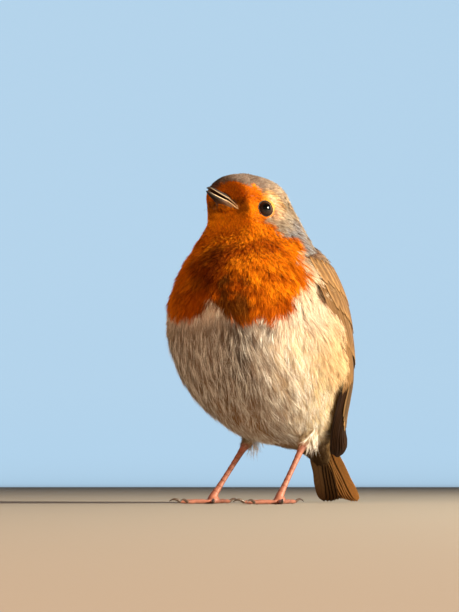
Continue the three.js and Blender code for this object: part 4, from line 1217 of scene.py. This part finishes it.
# each toe: degrees from straight ahead, length, length of its claw; radii go with shares of a part's length
leg = {"ankleZ": 20.4, "sole": 2.6, "toeStart": 2.9, "toeRadius": 0.72, "voxel": 0.24, "scutes": 9.5,
       "toeScute": 0.95, "skin": np.array((0.29, 0.104, 0.066)), "scute": np.array((0.42, 0.175, 0.125)),
       "hollowShade": np.array((0.14, 0.055, 0.035)),
       "toes": {"inner": (-34, 9.0, 4.0), "middle": (0, 13.0, 4.4), "outer": (32, 10.0, 4.0),
                "hind": (180, 7.0, 5.6)},
       "tarsus": [(-0.05, 1.3), (0.04, 1.5), (0.14, 1.08), (0.3, 0.9), (0.5, 0.82), (0.7, 0.84), (0.88, 0.98),
                  (1.0, 1.25), (1.08, 1.2)],
       "shank": [(0, 4.0), (0.3, 3.4), (0.6, 2.4), (0.85, 1.6), (1.02, 1.3)],
       "toe": [(-0.22, 1.15), (0, 1.0), (0.14, 0.88), (0.36, 1.06), (0.6, 0.88), (0.82, 1.0), (1.0, 0.66),
               (1.05, 0.5)],
       "claw": [(0, 0.5), (0.2, 0.46), (0.4, 0.4), (0.6, 0.32), (0.8, 0.22), (0.93, 0.12), (1.0, 0.03)],
       "ball": [(0.0, 1.5), (0.35, 2.0), (1.2, 2.1), (2.0, 1.7), (2.7, 1.1), (3.2, 0.5)],
       "thigh": [(0, 4.2), (0.3, 3.7), (0.6, 2.9), (0.85, 2.1), (1.0, 1.7), (1.4, 1.4)]}


def tubeGrid(knots, radii, rows=24, sides=20, flatten=1.0):
    # circles carried along a smooth line through the knots
    t = np.linspace(0, len(knots) - 1, rows)
    line, radius = catmullRom(knots, t), catmullRom(np.array(radii)[:, None], t)
    way = unit(np.gradient(line, axis=0))
    side = unit(np.cross(way, [0.13, 0.02, 1.0] if abs(way[0, 2]) < 0.7 else [1.0, 0.02, 0]))
    rings = radialOf(circleOf(sides)[None], side[:, None], flatten * np.cross(side, way)[:, None])
    return line[:, None] + radius[:, None] * rings


def legPoints(side):  # knee, ankle and the bottom of the tarsus
    spec = legs[side]
    return np.array([spec["knee"], (*spec["ankle"], leg["ankleZ"]), (*spec["foot"], leg["sole"])], float)


def toeLine(side, name, out):  # points on the floor at distances from the foot's middle, and the toe's way
    turn = radians(leg["toes"][name][0]) * legs[side]["sign"]
    way = np.array([-np.sin(turn), -np.cos(turn), 0])
    return np.array([*legs[side]["foot"], 0]) + way * out[:, None], way


def onFloor(points):  # nothing reaches below the floor
    points[..., 2] = np.maximum(points[..., 2], 0.0)
    return points


def legSolids(side):
    # tarsus, shank, ball of the foot and toes as closed tubes that run into each other
    knee, ankle, base = legPoints(side)
    share, radii = np.array(leg["tarsus"]).T
    parts = [tubeGrid(ankle + share[:, None] * (base - ankle), radii, 60, 24, 1.12)]
    share, radii = np.array(leg["shank"]).T
    parts.append(tubeGrid(knee + share[:, None] * (ankle - knee), radii, 30, 24))
    rings, a = catmullRom(leg["ball"], np.linspace(0, 5, 16)), circleOf(28)
    x, y = rings[:, 1:] * np.cos(a), 1.15 * rings[:, 1:] * np.sin(a)
    parts.append(np.stack([base[0] + x, base[1] + y, rings[:, :1] + 0 * a], -1))
    share, swell = np.array(leg["toe"]).T
    for name, (_, long, _) in leg["toes"].items():
        line, _ = toeLine(side, name, leg["toeStart"] + share * long)
        arch = 0.12 * np.sin(pi * np.clip(share, 0, 1)) + 0.7 * np.clip(-share, 0, 1)
        line[:, 2] = leg["toeRadius"] * 0.86 + arch
        parts.append(tubeGrid(line, swell * leg["toeRadius"], 34, 16))
    return [outward(gridShape(onFloor(part), (1, 1, 1))) for part in parts]


def remeshed(shape, size):  # one smooth closed skin over shapes that run into each other
    mesh = bpy.data.meshes.new("legBlank")
    faces = [face for corners, _, _ in shape["faces"] for face in corners.tolist()]
    mesh.from_pydata(shape["points"].tolist(), [], faces)
    blank = bpy.data.objects.new("legBlank", mesh)
    bpy.context.scene.collection.objects.link(blank)
    wrap = blank.modifiers.new("wrap", "REMESH")
    wrap.mode = "VOXEL"
    wrap.voxel_size = size
    done = blank.evaluated_get(bpy.context.evaluated_depsgraph_get()).to_mesh()
    points, normals = np.empty((2, len(done.vertices) * 3), np.float32)
    done.vertices.foreach_get("co", points)
    done.vertices.foreach_get("normal", normals)
    corners = np.empty(len(done.loops), np.int32)
    done.loops.foreach_get("vertex_index", corners)
    bpy.data.objects.remove(blank)
    return points.reshape(-1, 3).astype(float), normals.reshape(-1, 3).astype(float), corners.reshape(-1, 4)


def legSkin(side, box):
    # scutes ring the front of the tarsus and cross the toes: a saw wave along each bone moves the skin out
    points, normals, quads = remeshed(join(legSolids(side)), leg["voxel"])
    _, ankle, base = legPoints(side)
    bone = base - ankle
    share = (points - ankle) @ bone / (bone @ bone)
    front = smooth(-normals[:, 1], -0.2, 0.3)
    saw = (share * leg["scutes"]) % 1
    edge = span(saw, 0.80, 0.98, 0.98, 1.0)
    onTarsus = span(share, 0.02, 0.1, 0.92, 1.0) * (points[:, 2] > 2.4) * front
    band, groove = onTarsus * (0.10 * saw - 0.12 * edge), onTarsus * edge
    for name in leg["toes"]:
        (foot,), way = toeLine(side, name, np.zeros(1))
        out = (points - foot) @ way
        beside = np.abs((points - foot) @ np.cross(way, [0, 0, 1.0]))
        onToe = (out > 2.2) & (beside < 1.2) & (points[:, 2] < 2.0)
        upward = onToe * smooth(normals[:, 2], 0.0, 0.5)
        step = (out / leg["toeScute"]) % 1
        ridge = span(step, 0.75, 0.95, 0.95, 1.0)
        band = band + upward * (0.06 * step - 0.08 * ridge)
        groove = groove + upward * ridge
    points = onFloor(points + normals * band[:, None])
    colour = wash(leg["skin"], [
        (leg["scute"], 0.6 * front),
        # painted shade in the grooves between the scutes
        (leg["hollowShade"], 0.6 * np.clip(groove, 0, 1)),
        (leg["skin"] * 0.8, 0.5 * smooth(-points[:, 2], -2.0, -0.3)),
    ]) * (1 + 0.12 * waves(points, 3.0, 41))[:, None]
    x0, y0, x1, y1 = box
    low, high = points.min(0), points.max(0)
    flat = ((points - low) / (high - low))[:, [0, 2]]
    flat[:, 0] = 0.5 * flat[:, 0] + 0.5 * (normals[:, 1] > 0)  # front beside back
    bake = np.array([x0, y0]) + np.clip(flat, 0, 1) * np.array([x1 - x0, y1 - y0])
    return {"points": points, "colour": colour, "faces": [[quads, bake[quads], None]]}


def makeSkin():
    # the body's surface drawn in by the depth of the coat, with the lids and the bare legs
    rows, sides = 190, 128
    place, angle = np.meshgrid(np.linspace(0.0, tailEndPlace, rows), circleOf(sides), indexing="ij")
    points, _, _, normal = frameOf(bodySurface, place, angle)
    points = points - normal * coatDepth(place, angle)[..., None]
    # painted shade: the skin under the coat is darker than the feathers, less so towards the bill
    shade = 0.55 + 0.25 * smooth(-place, -6.0, -3.0)
    body = outward(gridShape(points, plumage(place, angle) * shade[..., None], (0, 0, 0.7, 1)))
    shapes = [body, lidRing(1), lidRing(-1)]
    hides = ["head", "neck", "breast", "belly", "vent", "undertail"]
    legParts = ["shank", "tarsus", "foot"] + [f"toe_{name}" for name in leg["toes"]]
    for number, side in enumerate(legs):
        shapes.append(legSkin(side, (0.72, 0.5 * number + 0.01, 0.99, 0.5 * number + 0.49)))
        hides += [f"{part}_{side}" for part in legParts]
    return makePiece("skin", join(shapes), bareSkin, hides)


def thighTone(share, turn):
    # painted shade: the thigh feathers darkened like the shaded belly above them
    return 0.62 * mix(tones["belly"], tones["flank"], 0.5 + 0.3 * smooth(share, 0.2, 0.8))


def thighBake(share, turn):
    return np.stack([turn / (2 * pi), share], -1)


def makeThighs():
    # soft tufts round the shank, and loose pale wisps that stand out behind it
    total = 0
    look = dict(coatLooks["belly"], strands=8, spread=(0.2, 0.8), width=0.055, loose=0.35)
    wispLook = dict(coatLooks["wisp"], curl=0.3, spread=(0.1, 1.6))
    for side in legs:
        knee, ankle, _ = legPoints(side)
        bone = unit(ankle - knee)
        e1 = unit(np.cross(bone, [1.0, 0, 0]))
        e2 = np.cross(bone, e1)

        def at(share, turn):
            out = radialOf(turn, e1, e2) * ramp(share, leg["thigh"])[..., None]
            return knee + share[..., None] * (ankle - knee) + out

        handed = handOf(at, 0.5, 0.0, e1)
        rng = np.random.default_rng(72)
        roots = rootsOn(at, (0.0, 0.92, 0, 2 * pi), 3.0, 71)
        shape = looseTufts(at, roots, look, (3.0, 5.4), 0.25, 0.9, (0.2, 0.2), thighTone, thighBake, 73,
                           handed, rng)
        u, v = rootsOn(at, (0.45, 0.9, 0, 2 * pi), 1.0, 74)
        outer = at(u, v) - at(u, v + pi)
        behind = outer @ np.array([0.75, 0.65, 0]) > 0.4 * np.linalg.norm(outer, axis=-1)
        u, v = u[behind], v[behind]
        length, heading = rng.uniform(5.0, 8.0, len(u)), rng.normal(0, 0.2, len(u))
        wisps = coatShape(at, u, v, wispLook, length, heading, 0.5, rng.uniform(2.5, 5.0, len(u)),
                          lambda p, q: 0 * p[..., None] + tones["wisp"], thighBake, 75, handed)
        total += makePiece(f"thigh{side.capitalize()}", join([shape, wisps]), softPlume)
    return total


def makeClaws():
    # each claw leaves its toe, rises over an arc and comes down to a point
    shapes, hides, rows, sides = [], [], 26, 14
    share, radii = np.array(leg["claw"]).T
    tone = mix((0.10, 0.06, 0.04), (0.03, 0.02, 0.015), np.linspace(0, 1, rows)[:, None] * np.ones(sides))
    for side in legs:
        for name, (_, long, claw) in leg["toes"].items():
            line, _ = toeLine(side, name, leg["toeStart"] + long + 0.1 + share * (claw + 0.2))
            line[:, 2] = 0.62 + 1.1 * np.sin(pi * 0.85 * share) - 0.48 * share
            left = len(shapes) / 8
            grid = onFloor(tubeGrid(line, radii, rows, sides))
            shapes.append(outward(gridShape(grid, tone, (left + 0.01, 0, left + 0.115, 1))))
            hides.append(f"claw_{name}_{side}")
    return makePiece("claws", join(shapes), clawHorn, hides)


# how far the camera stands round from the bird's front and is tilted up; millimetres away, to its left and up
view = {"azimuth": radians(32), "tilt": radians(4.73), "distance": 700, "aside": 9.55, "height": 8.0,
        "lens": 123.3, "sensor": 36, "target": (0, 0, 55)}
toRight = np.array([np.cos(view["azimuth"]), np.sin(view["azimuth"]), 0])
toFar = np.array([-np.sin(view["azimuth"]), np.cos(view["azimuth"]), 0])
# each lamp: degrees to the right of the camera, degrees up, distance, size, watts and colour
lamps = {
    "keyLamp": (68, 23, 0.90, 0.20, 21.5, (1.0, 0.87, 0.65)),
    "fillLamp": (-12, 22, 1.00, 0.60, 5.0, (1.0, 0.58, 0.34)),
    "topLamp": (120, 50, 1.00, 0.50, 1.2, (1.0, 0.92, 0.82)),
}
# profiles: distance from the middle and height, in metres
stage = {"floor": (0.36, 0.335, 0.305), "far": (0.20, 0.20, 0.20), "sky": (0.40, 0.61, 0.80),
         "front": (0.20, 0.16, 0.12), "air": (1.0, 0.68, 0.48, 1), "airStrength": 0.05,
         "profiles": {"floor": [[0.001, 0], [0.4, 0], [0.9, 0], [1.3, 0], [1.5, 0]],
                      "wall": [[1.5, 0], [1.8, 0.02], [2.05, 0.14], [2.2, 0.45], [2.25, 1.3]]}}


def inRow(point):  # the bird's own millimetres as metres of the row
    return (np.asarray(point, float) + shift) * 0.001


def placed(name, data):  # an object in the scene
    thing = bpy.data.objects.new(name, data)
    bpy.context.scene.collection.objects.link(thing)
    return thing


def makeCamera():
    data = bpy.data.cameras.new("camera")
    data.lens, data.sensor_width = view["lens"], view["sensor"]
    data.clip_start, data.clip_end = 0.01, 20
    camera = placed("camera", data)
    camera.location = inRow([0, 0, view["height"]] - toFar * view["distance"] - toRight * view["aside"])
    camera.rotation_euler = (pi / 2 + view["tilt"], 0, view["azimuth"])
    bpy.context.scene.camera = camera


def makeLamps():
    for name, (turn, up, distance, size, power, colour) in lamps.items():
        data = bpy.data.lights.new(name, "AREA")
        data.shape, data.size, data.energy, data.color = "DISK", size, power, colour
        lamp = placed(name, data)
        a, e = radians(turn), radians(up)
        way = (-toFar * np.cos(a) + toRight * np.sin(a)) * np.cos(e) + [0, 0, np.sin(e)]
        lamp.location = inRow(view["target"]) + way * distance
        lamp.rotation_euler = Vector(way).to_track_quat("Z", "Y").to_euler()
        lamp.visible_camera = False
        lamp.visible_glossy = name == "keyLamp"
    room = bpy.data.worlds.new("room")
    room.use_nodes = True
    background = room.node_tree.nodes["Background"]
    background.inputs["Color"].default_value = stage["air"]
    background.inputs["Strength"].default_value = stage["airStrength"]
    bpy.context.scene.world = room
    bpy.context.scene.view_settings.view_transform = "Standard"


def makeStudio():
    # a round pale floor, and a wall that glows sky blue behind the bird and dim in front; it lights nothing
    for name, profile in stage["profiles"].items():
        rings = catmullRom(profile, np.linspace(0, len(profile) - 1, 60))
        circle = radialOf(circleOf(96), np.array([1.0, 0, 0]), np.array([0, 1.0, 0]))
        points = rings[:, :1, None] * circle + np.array([0, 0, 1.0]) * (rings[:, 1:] - 0.00003)[..., None]
        shape = gridShape(points, (1, 1, 1), caps=False)
        out = smooth(np.hypot(shape["points"][:, 0], shape["points"][:, 1]), 0.9, 1.9)
        ahead = smooth(unit(shape["points"] * [1, 1, 0]) @ toFar, -0.5, 0.5)
        mesh = bpy.data.meshes.new(name)
        mesh.from_pydata(shape["points"].tolist(), [], shape["faces"][0][0].tolist())
        glow = mix(stage["front"], stage["sky"], ahead) * (name == "wall")
        addColours(mesh, "tint", mix(stage["floor"], stage["far"], out))
        addColours(mesh, "glow", glow * out[:, None])
        mesh.polygons.foreach_set("use_smooth", np.ones(len(mesh.polygons), bool))
        nodes, links, shader, tint, material = newMaterial(f"{name}Paint", 0.8, specular=0.1)
        links.new(tint.outputs["Color"], shader.inputs["Base Color"])
        light = addNode(nodes, "Attribute")
        light.attribute_name = "glow"
        links.new(light.outputs["Color"], shader.inputs["Emission Color"])
        shader.inputs["Emission Strength"].default_value = 1.0
        mesh.materials.append(material)
        piece = placed(name, mesh)
        piece.visible_diffuse = name == "floor"


makeCamera()
makeLamps()
makeStudio()
print("studio ready")
count = makeSkin()
print("skin done")
count += makeCoat()
print("coat done")
count += makeWings() + makeOverlaps() + makeTail() + makeThighs()
print("vanes done")
count += makePiece("eyeRims", join([rimTufts(1), rimTufts(-1)]), softPlume)
count += makeBillTufts() + makeGape()
count += makePiece("billUpper", billHalf(1), billHorn, ["bill_upper"])
count += makePiece("billLower", billHalf(-1), billHorn, ["bill_lower"])
count += makePiece("eyeLeft", eyeball(1), eyeGloss, ["eye_left"])
count += makePiece("eyeRight", eyeball(-1), eyeGloss, ["eye_right"])
count += makeClaws()
print(f"bird ready: {count} triangles")
